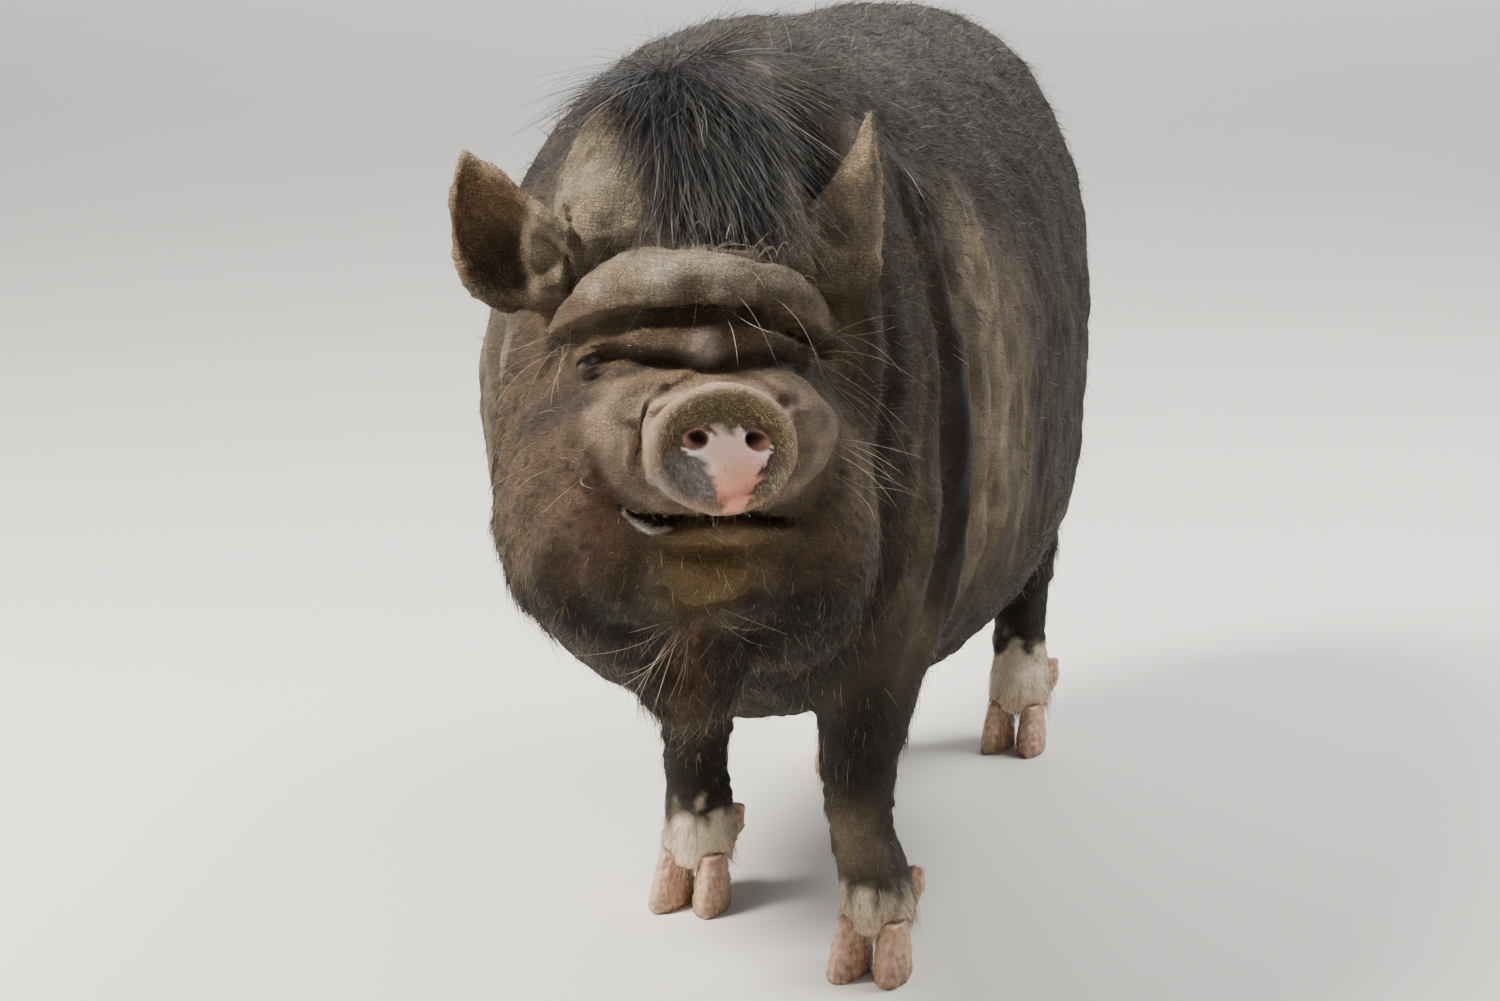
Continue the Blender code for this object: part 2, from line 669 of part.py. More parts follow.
def add_hooves(parts):
    """Two claws and two dewclaws on every foot, trimmed into the foot."""
    for side in SIDES:
        for pair, feet, size in (("front", FRONT_FEET, FRONT_CLAW), ("hind", HIND_FEET, HIND_CLAW)):
            foot = feet[side]
            flesh = parts[f"{pair}_foot_{side}"]
            for place, out in (("outer", SIDES[side]), ("inner", -SIDES[side])):
                centre = (foot[0] + out * (size[0] / 2.0 + CLAW_GAP), foot[1] + CLAW_SHIFT)
                claw = make_claw(f"claw_{pair}_{side}_{place}", centre, CLAW_TURN * out, size)
                seat_in(claw, flesh)
                spot = (foot[0] + out * DEWCLAW_SPREAD, foot[1] + DEWCLAW_BACK, DEWCLAW_HEIGHT)
                seat_in(make_dewclaw(f"dewclaw_{pair}_{side}_{place}", spot), flesh)


def seat_in(piece, host):
    """Cut a pocket in the host for a piece, with the thin gap around it."""
    tool = swollen(piece, GAP)
    boolean(host, tool, "DIFFERENCE")
    discard(tool)


# ---------------------------------------------------------------- tail
# The tail's line, and its half widths across and lengthways.
TAIL_LINE = (
    (TAIL_X, 0.385, 0.462), (TAIL_X, 0.412, 0.452), (TAIL_X + 0.002, 0.428, 0.420),
    (TAIL_X + 0.005, 0.434, 0.370), (TAIL_X + 0.008, 0.436, 0.320),
    (TAIL_X + 0.010, 0.438, 0.270), (TAIL_X + 0.011, 0.440, 0.215),
)
TAIL_RADII = (
    (0.018, 0.018), (0.016, 0.016), (0.013, 0.013), (0.011, 0.010), (0.010, 0.009),
    (0.014, 0.009), (0.004, 0.003),
)


def make_tail():
    """A straight tail that hangs behind the rump and ends in a flat tuft."""
    bm = bmesh.new()
    tube(bm, TAIL_LINE, TAIL_RADII, segments=10)
    return add_object("tail", bm)


def stand_on_origin():
    """Move all parts so that their box stands centred on the origin, and list them."""
    bpy.context.view_layer.update()
    solids = [obj for obj in bpy.data.objects if obj.type == "MESH"]
    points = [obj.matrix_world @ vert.co for obj in solids for vert in obj.data.vertices]
    low = Vector([min(point[axis] for point in points) for axis in range(3)])
    high = Vector([max(point[axis] for point in points) for axis in range(3)])
    shift = Vector((-(low.x + high.x) / 2.0, -(low.y + high.y) / 2.0, -low.z))
    for obj in solids:
        obj.data.transform(Matrix.Translation(shift))
    return solids


def main():
    clear_scene()
    parts = part_flesh(make_flesh())
    seat_in(make_disk(), parts["muzzle"])
    for side, sign in SIDES.items():
        ear = make_ear(f"ear_{side}", *EARS[side])
        seat(ear, parts["head"])
        seat(ear, parts["neck"])
        make_eye(f"eye_{side}", sign, parts["head"])
    add_hooves(parts)
    seat(make_tail(), parts["rump"])
    for obj in stand_on_origin():
        finish(obj)


main()
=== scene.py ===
"""Looks for the standing pot-bellied pig: skin, coat, eyes, hooves and stage.

Metres, +Z up.  The pig faces -Y and its left side is +X.  The head's own
frame has its origin between the cheeks, -Y towards the snout, +X to the
pig's left and +Z towards the crown.
"""
import itertools
import math

import bmesh
import bpy
import numpy as np
from bpy.props import FloatProperty, FloatVectorProperty, IntProperty, PointerProperty
from mathutils import Matrix, Vector
from mathutils.bvhtree import BVHTree


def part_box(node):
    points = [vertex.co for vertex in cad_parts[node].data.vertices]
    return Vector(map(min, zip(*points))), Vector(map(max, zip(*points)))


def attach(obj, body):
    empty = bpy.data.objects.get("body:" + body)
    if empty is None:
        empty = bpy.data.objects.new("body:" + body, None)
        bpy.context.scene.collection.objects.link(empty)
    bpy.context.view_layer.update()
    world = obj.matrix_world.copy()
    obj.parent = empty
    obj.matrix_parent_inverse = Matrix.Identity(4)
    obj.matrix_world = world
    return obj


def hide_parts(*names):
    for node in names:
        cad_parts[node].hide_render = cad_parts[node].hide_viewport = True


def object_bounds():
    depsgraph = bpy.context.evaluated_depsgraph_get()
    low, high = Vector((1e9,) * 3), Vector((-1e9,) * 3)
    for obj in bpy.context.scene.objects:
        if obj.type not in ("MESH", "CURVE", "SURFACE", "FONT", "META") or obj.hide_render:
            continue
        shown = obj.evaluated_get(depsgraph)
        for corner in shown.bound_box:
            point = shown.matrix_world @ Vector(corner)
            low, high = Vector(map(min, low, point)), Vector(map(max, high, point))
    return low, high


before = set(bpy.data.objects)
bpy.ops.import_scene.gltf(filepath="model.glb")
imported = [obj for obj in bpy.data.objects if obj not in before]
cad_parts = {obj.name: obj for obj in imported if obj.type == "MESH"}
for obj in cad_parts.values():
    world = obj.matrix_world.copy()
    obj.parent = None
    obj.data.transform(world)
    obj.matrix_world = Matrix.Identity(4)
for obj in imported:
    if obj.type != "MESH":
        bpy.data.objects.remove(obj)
CAD_BOX = [list(corner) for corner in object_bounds()]

bl_info = {
    "name": "Pot-bellied pig looks",
    "version": (1, 0, 0),
    "blender": (4, 5, 0),
    "location": "3D View > Sidebar > Pig",
    "description": "Skin, coat, eyes, hooves and stage of a standing pig",
    "category": "Object",
}

SIDES = {"left": 1, "right": -1}
PAIRS = [(pair, side) for pair in ("front", "hind") for side in SIDES]
FLESH = [
    "head", "muzzle", "jaw", "snout_disk", "neck", "chest", "belly", "rump", "tail",
    "ear_left", "ear_right",
    *(f"{pair}_{part}_{side}" for pair, side in PAIRS for part in ("leg", "foot")),
]

# ---------------------------------------------------------------- the head's frame
HEAD_YAW = math.radians(30)
HEAD_PITCH = math.radians(10)
DISK_IN_HEAD = Vector((0.003, -0.121, 0.0))
# Half the disk's width and height.
DISK_HALF = (0.0425, 0.0365)
# Each nostril's side, place on the disk and tilt.
NOSTRILS = ((-1, -0.0162, 0.006, 0.2), (1, 0.019, 0.0034, -0.5))
HEAD_TURN = Matrix.Rotation(HEAD_YAW, 3, "Z") @ Matrix.Rotation(-HEAD_PITCH, 3, "X")


def middle(node):
    """The middle of a CAD node's box."""
    low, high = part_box(node)
    return (low + high) / 2


HEAD_CENTRE = middle("snout_disk") - HEAD_TURN @ DISK_IN_HEAD
HEAD_AXES = np.array(HEAD_TURN)


def to_head(points):
    """World points in the head's own frame."""
    return (points - np.array(HEAD_CENTRE)) @ HEAD_AXES


def from_head(points):
    """Points of the head's own frame in the world."""
    return np.asarray(points, float) @ HEAD_AXES.T + np.array(HEAD_CENTRE)


# ---------------------------------------------------------------- settings
def linear(red, green, blue):
    """A colour given in 0-255 steps, as linear values."""
    return tuple(c / 3294.6 if c <= 10.3 else ((c / 255 + 0.055) / 1.055) ** 2.4 for c in (red, green, blue))


def colour(name, words, *steps):
    """A colour that the user can change, given in 0-255 steps."""
    return FloatVectorProperty(
        name=name, description=words, subtype="COLOR", size=3, min=0.0, max=1.0, default=linear(*steps))


def length(name, words, value, low=0.0, high=1.0):
    """A length that the user can change."""
    return FloatProperty(name=name, description=words, unit="LENGTH", default=value, min=low, max=high,
                         precision=4)


class PigSkinSettings(bpy.types.PropertyGroup):
    cell: length("Cell", "Grid size of the skin before it is thinned", 0.0022, 0.001, 0.02)
    gap_growth: length("Gap growth", "How far the solids grow to close the cuts between them", 0.0004)
    coat_depth: length("Coat depth", "How far the skin lies inside the solids on the body", 0.002)
    body_rounds: IntProperty(name="Body smoothing", description="Smoothing rounds on the trunk",
                             default=200, min=1, max=400)
    fine_rounds: IntProperty(name="Fine smoothing", description="Smoothing rounds all over",
                             default=12, min=1, max=100)
    fold_depth: FloatProperty(name="Fold depth", description="Strength of all the folds",
                              default=1.0, min=0.0, max=2.0)
    triangles: IntProperty(name="Triangles", description="Triangles in the finished skin",
                           default=190000, min=20000, max=199000)


class PigCoatSettings(bpy.types.PropertyGroup):
    share: FloatProperty(name="Hair share", description="Share of the full number of bristles",
                         default=1.0, min=0.01, max=1.1)
    width: length("Bristle width", "Thickness of a body bristle at its root", 0.00042, 0.0001, 0.003)
    mane: length("Mane length", "Longest hair of the crown", 0.062, 0.01, 0.12)
    body: length("Body length", "Usual length of a body bristle", 0.024, 0.005, 0.08)
    face: length("Face length", "Usual length of the cheek hair", 0.014, 0.002, 0.05)


class PigColours(bpy.types.PropertyGroup):
    hide: colour("Hide", "Body skin", 86, 75, 62)
    # The dark hide is the skin's own dark colour on the back, flanks, crown and tail, and is also used as
    # painted shade under the belly and chin, on the head's left side by the ear and in the crease under the
    # nose fold.
    dark: colour("Dark hide", "Skin in folds, under the belly and on the legs", 38, 34, 32)
    dusty: colour("Dusty hide", "Dry skin of the brow and forehead", 176, 156, 128)
    muzzle: colour("Muzzle", "Skin of the muzzle", 146, 125, 105)
    ochre: colour("Ochre", "Chin, lips and dewlap", 100, 78, 34)
    pink: colour("Pink", "Bare patch on the snout", 242, 172, 146)
    cream: colour("Cream", "Lip crescent, patch edge and socks", 216, 198, 172)
    ear: colour("Ear", "Outer skin of the ears", 186, 162, 132)
    hair_dark: colour("Dark hair", "Mane and body bristles", 26, 23, 22)
    hair_pale: colour("Pale hair", "Whiskers and tips", 214, 196, 166)
    horn: colour("Horn", "Claws", 210, 174, 148)
    iris: colour("Iris", "The eye's brown ring", 74, 44, 24)
    floor: colour("Floor", "The plain floor", 222, 220, 216)


class PigStageSettings(bpy.types.PropertyGroup):
    key: FloatProperty(name="Key light", description="Strength of the soft light behind the pig's right",
                       unit="POWER", default=175.0, min=0.0)
    fill: FloatProperty(name="Fill light", description="Strength of the front light",
                        unit="POWER", default=14.0, min=0.0)
    lens: FloatProperty(name="Lens", description="Focal length on a 36 mm sensor in millimetres",
                        default=108.0, min=10.0)


# ---------------------------------------------------------------- arithmetic helpers
def ramp(values, low, high):
    """A smooth step from 0 at low to 1 at high."""
    t = np.clip((values - low) / (high - low), 0.0, 1.0)
    return t * t * (3.0 - 2.0 * t)


def fall(values, low, high):
    """A smooth step from 1 at low to 0 at high."""
    return 1.0 - ramp(values, low, high)


def bell(values, width):
    """1 at nothing, falling away on both sides."""
    return np.exp(-(values / width) ** 2)


def unit(vectors):
    """Vectors made one long."""
    return vectors / np.maximum(np.linalg.norm(vectors, axis=-1, keepdims=True), 1e-9)


def waves(points, size, seed, count=14):
    """Smooth noise about one high, with swells about size across."""
    rng = np.random.default_rng(seed)
    total = np.zeros(len(points))
    for heading in unit(rng.normal(size=(count, 3))):
        stride = 2 * math.pi / size * rng.uniform(0.6, 1.5)
        total += np.sin(points @ heading * stride + rng.uniform(0, 6.28))
    return total / math.sqrt(count / 2)


def smooth_line(points, steps=5):
    """A rounded line through a few points (Catmull-Rom)."""
    pts = np.array(points, float)
    pts = np.vstack([2 * pts[0] - pts[1], pts, 2 * pts[-1] - pts[-2]])
    out = []
    for a, b, c, d in zip(pts, pts[1:], pts[2:], pts[3:]):
        for t in np.arange(steps) / steps:
            out.append(0.5 * (2 * b + (c - a) * t + (2 * a - 5 * b + 4 * c - d) * t ** 2
                              + (3 * b - a - 3 * c + d) * t ** 3))
    out.append(pts[-2])
    return np.array(out)


def along(points, line, reach):
    """For points within reach of a rounded line: their indices, distance to it, and place along it."""
    line = smooth_line(line) if len(line) > 2 else np.array(line, float)
    low, high = line.min(axis=0) - reach, line.max(axis=0) + reach
    near = np.flatnonzero(np.all((points > low) & (points < high), axis=1))
    pts = points[near]
    gap = np.full(len(pts), 1e9)
    place = np.zeros(len(pts))
    for index, (a, b) in enumerate(zip(line, line[1:])):
        run = b - a
        t = np.clip((pts - a) @ run / max(run @ run, 1e-12), 0.0, 1.0)
        away = np.linalg.norm(pts - a - t[:, None] * run, axis=1)
        nearer = away < gap
        gap[nearer] = away[nearer]
        place[nearer] = (index + t[nearer]) / (len(line) - 1)
    return near, gap, place


# ---------------------------------------------------------------- mesh helpers
def new_object(name, mesh):
    """A new object in the scene."""
    obj = bpy.data.objects.new(name, mesh)
    bpy.context.scene.collection.objects.link(obj)
    return obj


def settle(obj):
    """Apply an object's modifiers."""
    bpy.context.view_layer.update()
    graph = bpy.context.evaluated_depsgraph_get()
    old = obj.data
    obj.data = bpy.data.meshes.new_from_object(obj.evaluated_get(graph))
    obj.modifiers.clear()
    bpy.data.meshes.remove(old)


def read(items, name, width=3, kind=np.float32):
    """A row of values for each of a mesh's items."""
    rows = np.empty(len(items) * width, kind)
    items.foreach_get(name, rows)
    rows = rows.reshape(-1, width)
    return rows.astype(float) if kind is np.float32 else rows


def points_of(mesh):
    """A mesh's vertices."""
    return read(mesh.vertices, "co")


def normals_of(mesh):
    """The way out of a mesh at each vertex."""
    mesh.update()
    return read(mesh.vertex_normals, "vector")


def put_points(mesh, co):
    """Move a mesh's vertices."""
    mesh.vertices.foreach_set("co", np.ascontiguousarray(co, np.float32).ravel())
    mesh.update()


def weigh(obj, modifier, weights):
    """Apply a modifier by a weight for each vertex, in steps of a twentieth."""
    group = obj.vertex_groups.new(name=modifier.name)
    steps = np.round(np.clip(weights, 0.0, 1.0) * 20).astype(int)
    for step in range(1, 21):
        chosen = np.flatnonzero(steps == step)
        if len(chosen):
            group.add(chosen.tolist(), step / 20, "REPLACE")
    modifier.vertex_group = group.name
    settle(obj)
    obj.vertex_groups.clear()


def ease(obj, rounds, weights):
    """Smooth an object, by a weight for each vertex."""
    smooth = obj.modifiers.new("ease", "SMOOTH")
    smooth.factor = 0.5
    smooth.iterations = rounds
    weigh(obj, smooth, weights)


def fuse(obj, cell):
    """Make an object one closed mesh on a grid of the given size."""
    join = obj.modifiers.new("join", "REMESH")
    join.mode = "VOXEL"
    join.voxel_size = cell
    settle(obj)


def merged_copy(node):
    """A bmesh of a CAD node with its loose triangles joined."""
    bm = bmesh.new()
    bm.from_mesh(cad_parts[node].data)
    bmesh.ops.remove_doubles(bm, verts=bm.verts, dist=1e-6)
    return bm


def to_mesh(bm, name):
    """A mesh from a bmesh, which is freed."""
    mesh = bpy.data.meshes.new(name)
    bm.to_mesh(mesh)
    bm.free()
    return mesh


def shade_smooth(mesh):
    """Shade a mesh smooth."""
    mesh.polygons.foreach_set("use_smooth", np.ones(len(mesh.polygons), bool))


# ---------------------------------------------------------------- regions
TAIL_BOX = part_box("tail")
LEG_SPOTS = [(pair, side, middle(f"{pair}_foot_{side}")) for pair, side in PAIRS]


def head_share(points):
    """1 on the head, 0 on the body."""
    local = to_head(points)
    return fall(local[:, 1] + 0.25 * np.abs(local[:, 0]), 0.07, 0.11)


def leg_share(points):
    """1 on the legs below the body, 0 on the body."""
    share = np.zeros(len(points))
    for *_, spot in LEG_SPOTS:
        near = np.hypot(points[:, 0] - spot.x, (points[:, 1] - spot.y) * 0.8)
        share = np.maximum(share, fall(near, 0.055, 0.075))
    return share * fall(points[:, 2], 0.15, 0.23)


def tail_share(points):
    """1 on the tail behind the rump, 0 on the body."""
    low = TAIL_BOX[0]
    return ramp(points[:, 1], low.y + 0.008, low.y + 0.025) * (points[:, 2] > low.z - 0.02)


def trunk_share(points):
    """1 on the trunk, 0 on the head, legs and tail."""
    return (1 - head_share(points)) * (1 - leg_share(points)) * (1 - tail_share(points))


def beside(points, spot):
    """How far points lie from the upright line through a spot."""
    return np.hypot(points[:, 0] - spot.x, points[:, 1] - spot.y)


def nearness(points, node, reach):
    """1 on a CAD node's surface, 0 further than reach from it."""
    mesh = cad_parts[node].data
    tree = BVHTree.FromPolygons([v.co for v in mesh.vertices], [p.vertices[:] for p in mesh.polygons])
    low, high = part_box(node)
    share = np.zeros(len(points))
    inside = np.all((points > np.array(low) - reach) & (points < np.array(high) + reach), axis=1)
    for index in np.flatnonzero(inside):
        gap = tree.find_nearest(Vector(points[index]), reach)[3]
        if gap is not None:
            share[index] = 1.0 - gap / reach
    return share


def near_ears(points, reach):
    """1 on either ear's surface, 0 further than reach from both."""
    return np.maximum(*(nearness(points, f"ear_{side}", reach) for side in SIDES))


def on_disk(local, start, end, reach=0.065):
    """1 on the front of the snout's disk, 0 behind it; local points are in the head's frame."""
    x, y, z = local.T
    return ramp(-y, start, end) * (np.hypot(x, z) < reach)


def disk_reach(x, z):
    """How far out on the disk points lie: 0 in its middle, 1 at its rim."""
    return np.hypot((x + 0.001) / DISK_HALF[0], z / DISK_HALF[1])


def nostril_places(x, z):
    """For each nostril: its side, and the points' places along and across its tilted oval."""
    for sign, across, up, tilt in NOSTRILS:
        dx, dz = x - across, z - up
        yield sign, dx * math.cos(tilt) + dz * math.sin(tilt), dz * math.cos(tilt) - dx * math.sin(tilt)


# ---------------------------------------------------------------- folds
# Lines lie on the face in the head's frame: (points in millimetres, depth, width, raised edge).
# A depth below nothing is a ridge.
FACE_LINES = {
    "brow_top": (((-73, -7, 84), (-63, -22, 97), (-48, -37, 109), (-30, -48, 115), (3, -74, 114),
        (32, -74, 107), (67, -31, 96), (86, -19, 84), (92, -18, 66)), 0.0045, 0.0045, 0.2),
    "brow_low": (((-80, -10, 56), (-67, -52, 66), (-52, -67, 71), (-34, -78, 74), (-9, -85, 75.5),
        (14, -86, 76), (36, -78, 71), (56, -62, 63), (79, -28, 51), (91, -18, 47)), 0.01, 0.0042, 0.3),
    "nose_low": (((-60, -50, 49), (-51, -64, 54), (-44, -72, 52), (-32, -80, 49), (-11, -89, 46),
        (1, -91, 45), (18, -88, 47), (41, -76, 50), (63, -45, 44)), 0.0055, 0.0036, 0.25),
    "brow_mid": (((-70, -36, 74), (-48, -64, 91), (-15, -86, 96), (15, -86, 94), (47, -68, 85),
        (82, -30, 66)), -0.006, 0.011, 0.0),
    "nose_mid": (((-48, -66, 60), (-20, -83, 61), (5, -88, 61), (30, -81, 60),
        (52, -64, 55)), -0.004, 0.006, 0.0),
    "mouth": (((-50, -76, -32), (-41, -79, -37), (-34, -85, -40), (-26, -93, -41), (-14, -107, -39),
        (0, -113, -37), (14, -107, -39), (27, -97, -42), (40, -85, -45), (50, -76, -46)), 0.015, 0.0032, 0.1),
    "lip_low": (((-36, -82, -53), (-21, -91, -59), (-3, -97, -57), (18, -91, -60),
        (40, -75, -62)), 0.0042, 0.0048, 0.2),
    "chin_low": (((-34, -76, -78), (-22, -74, -90), (-5, -70, -95), (12, -72, -93),
        (30, -72, -82)), 0.0075, 0.0045, 0.2),
    "jowl_right": (((-85, -60, -60), (-76, -51, -86), (-60, -39, -102), (-34, -25, -116)), 0.005, 0.01, 0.2),
    "jowl_left": (((24, -33, -115), (35, -36, -113), (48, -58, -100), (58, -69, -80),
        (64, -73, -57)), 0.006, 0.012, 0.2),
    "ear_crease_right": (((-50, 35, 173), (-60, -5, 146), (-64, -21, 125), (-67, -15, 101),
        (-71, -9, 91)), 0.0024, 0.0045, 0.2),
    "ear_crease_left": (((70, -8, 150), (74, -16, 125), (81, -19, 104), (91, -16, 88)), 0.0045, 0.004, 0.2),
    "forehead_right": (((-20, -30, 156), (-18, -42, 138), (-24, -50, 121)), 0.003, 0.0048, 0.3),
    "forehead_left": (((48, -22, 155), (44, -36, 136), (50, -46, 116)), 0.003, 0.0048, 0.3),
    "cheek_right": (((-88, -40, 45), (-100, -20, 20), (-108, -5, -20)), 0.0025, 0.006, 0.4),
    "neck_left": (((122, -2, 137), (130, 8, 78), (126, 8, 7), (110, -10, -50)), 0.006, 0.009, 0.2),
}
# Lines pressed straight into the muzzle's dome from the front: the right swelling, both sides, the rim's
# crease and the fold beside the lip.
MUZZLE_LINES = (
    (((-60, 0, 24), (-51, 0, 34), (-39, 0, 39), (-26, 0, 40)), -0.005, 0.0042, 0.0),
    (((-71, 0, 4), (-67, 0, -5), (-62, 0, -14), (-57, 0, -22), (-47, 0, -33)), 0.0055, 0.0048, 0.25),
    (((89, 0, -6), (81, 0, -21), (70, 0, -33), (60, 0, -41), (49, 0, -46)), 0.005, 0.0062, 0.25),
    (((-47, 0, -12), (-46, 0, 4), (-42, 0, 16), (-34, 0, 26), (-22, 0, 35), (-2, 0, 41), (20, 0, 38),
     (36, 0, 27), (46, 0, 10)), 0.003, 0.0026, 0.2),
    (((-46, 0, 3), (-49, 0, -7), (-52, 0, -14), (-52, 0, -20)), 0.0025, 0.002, 0.4),
)
# The dome's outline: how far it reaches to each side at each height.
DOME_UP = (-0.04, -0.032, -0.024, -0.015, 0.0, 0.012, 0.03)
DOME_RIGHT = (0.043, 0.05, 0.056, 0.062, 0.071, 0.076, 0.071)
DOME_LEFT = (0.045, 0.054, 0.062, 0.069, 0.077, 0.078, 0.068)
# The height of the mouth's opening, from one corner to the other.
MOUTH_ACROSS = (-0.05, -0.026, 0.0, 0.027, 0.05)
MOUTH_LEVEL = (-0.034, -0.041, -0.0385, -0.042, -0.046)
# Where the left ear's root is, and how much of its width it keeps from there to its tip.
EAR_ROOT_Z = 0.1
EAR_UP = (0.0, 0.3, 0.6, 0.8, 1.0)
EAR_WIDTH = (1.05, 1.0, 0.66, 0.42, 0.3)
# Soft swellings: (centre and radii in millimetres, height).
FACE_BUMPS = (
    ((-45, -24, 136), (26, 40, 32), 0.01),
    ((60, -18, 135), (18, 30, 24), 0.009),
    ((-67, -62, 14), (12, 30, 10), 0.006),
    ((78, -62, 8), (12, 30, 12), 0.006),
    ((-3, -90, 58), (12, 20, 6), 0.0025),
    ((0, -100, -48), (30, 30, 8), 0.006),
    ((-2, -90, -73), (20, 30, 13), 0.006),
    ((-14, -56, -100), (5, 10, 5), 0.0035),
    ((-36, -90, -26), (14, 30, 10), 0.01),
    ((38, -90, -30), (14, 30, 10), 0.008),
    ((12, -50, 134), (22, 40, 20), -0.006),
)
# The notch between the poll and the left ear: its top, from one to the other.
NOTCH_ACROSS = (0.06, 0.07, 0.079, 0.097, 0.11, 0.117, 0.119)
NOTCH_TOP = (0.23, 0.16, 0.13, 0.149, 0.17, 0.189, 0.3)
# Fine ridges down the dewlap.
DEWLAP_LINES = tuple(((x, -0.04 + abs(x) * 0.6, -0.11), (x * 0.9, 0.0, -0.165)) for x in
                     (-0.022, -0.0125, -0.003, 0.007, 0.017))
# How the disk is widened: from where, across it, and to where.
DISK_SHIFT_FROM = (-0.036, -0.0165, 0.003, 0.0225, 0.042)
DISK_SHIFT_TO = (-0.0435, -0.019, 0.0, 0.019, 0.0415)


def metres(line):
    """Points given in millimetres."""
    return np.array(line) / 1000


def press(local, row, strength):
    """The points near one line, and how far out of the face it moves each of them."""
    line, depth, width, edge = row
    near, gap, place = along(local, metres(line), width * 4)
    fade = np.sin(np.clip(np.minimum(place, 1.0 - place) / 0.16 + 0.05, 0.0, 1.0) * 1.5708)
    shape = -bell(gap, width) + edge * bell(gap - width * 2.1, width * 0.9)
    return near, strength * depth * shape * fade


def apply_lines(local, heave, strength):
    """Add the face's lines, the dewlap's ridges and the soft swellings."""
    for row in FACE_LINES.values():
        near, out = press(local, row, strength)
        heave[near] += out
    for line in DEWLAP_LINES:
        near, gap, _ = along(local, line, 0.02)
        heave[near] += strength * (0.0022 * bell(gap, 0.0028) - 0.001 * bell(gap - 0.0055, 0.003))
    for centre, radii, height in FACE_BUMPS:
        reach = np.linalg.norm((local - metres(centre)) / metres(radii), axis=1)
        heave += strength * height * np.exp(-reach ** 2)


def mound_reach(local):
    """How far out on the muzzle's dome each point lies: 0 in its middle, 1 at its edge."""
    right = np.interp(local[:, 2], DOME_UP, DOME_RIGHT)
    left = np.interp(local[:, 2], DOME_UP, DOME_LEFT)
    across = np.where(local[:, 0] < 0, -local[:, 0] / right, local[:, 0] / left)
    return (np.abs(across) ** 2.6 + np.abs((local[:, 2] - 0.003) / 0.043) ** 4.0) ** 0.4


def push_out(local, strength):
    """Round the muzzle out to a dome, and push a few places in one direction each."""
    x, y, z = local.T
    mound = mound_reach(local)
    dome = 0.068 + 0.048 * np.clip(1.0 - mound ** 2.4, 0.0, 1.0) ** 0.55
    dome += 0.0012 * waves(local * np.array([1.0, 0.3, 1.6]), 0.022, 21)
    y -= strength * (np.maximum(dome + y, 0.0) * (mound < 1.0) * ramp(-y, 0.036, 0.06))
    front = ramp(-y, 0.055, 0.065) * fall(-y, 0.118, 0.123)
    for row in MUZZLE_LINES:
        near, out = press(local * np.array([1.0, 0.0, 1.0]), row, strength)
        y[near] -= out * front[near]
    edge = np.interp(z, (0.088, 0.119, 0.147), (-0.089, -0.0935, -0.09))
    wall = ramp(x, edge, edge + 0.005) * fall(x, -0.072, -0.062) * (np.abs(y + 0.025) < 0.035)
    wall *= ramp(z, 0.08, 0.096) * fall(z, 0.14, 0.156)
    y -= strength * 0.015 * wall
    level = np.interp(x, MOUTH_ACROSS, MOUTH_LEVEL)
    gape = bell(z - level, 0.003) * fall(np.abs(x), 0.04, 0.052)
    gape *= ramp(-y, 0.07, 0.08) * fall(-y, 0.109, 0.115)
    y += strength * 0.012 * gape


def eye_axes(side):
    """An eye's centre and its axes in the head's frame: outward, up the face, and along the slit."""
    centre = to_head(np.array([middle(f"eye_{side}")]))[0]
    sign = SIDES[side]
    out = unit(np.array([0.4 * sign, -0.92, 0.05]))
    slope = unit(np.array([0.92 * sign, 0.38, -0.36]))
    slope = unit(slope - out * (slope @ out))
    up = np.cross(slope, out) * sign
    up = up if up[2] > 0 else -up
    return centre, out, up, slope


def open_lids(local, strength):
    """Turn the swellings over the eyes into half-closed lids round a slit."""
    for side in SIDES:
        centre, out, up, slope = eye_axes(side)
        offset = local - centre
        across, rise, depth = offset @ slope, offset @ up, offset @ out
        near = (np.hypot(across, rise) < 0.024) & (depth > -0.012) & (depth < 0.03)
        half = 0.001 * np.sqrt(np.clip(1.0 - (across / 0.009) ** 2, 0.0, 1.0))
        inside = fall(np.abs(rise + 0.0005), half * 0.55, half * 1.25 + 0.0006)
        inside = inside * (np.abs(across) < 0.009)
        upper = bell(rise - half - 0.0026, 0.002) * bell(across, 0.013)
        lower = bell(rise + half + 0.0026, 0.0018) * bell(across, 0.012)
        fold = bell(rise - 0.0105 + 12 * across ** 2, 0.0016) * bell(across, 0.014)
        bag = bell(rise + 0.0105 - 10 * across ** 2, 0.0018) * bell(across, 0.014)
        push = -0.0056 * inside + 0.0022 * upper + 0.0011 * lower - 0.0022 * fold - 0.002 * bag
        local[near] += (strength * push[near])[:, None] * out


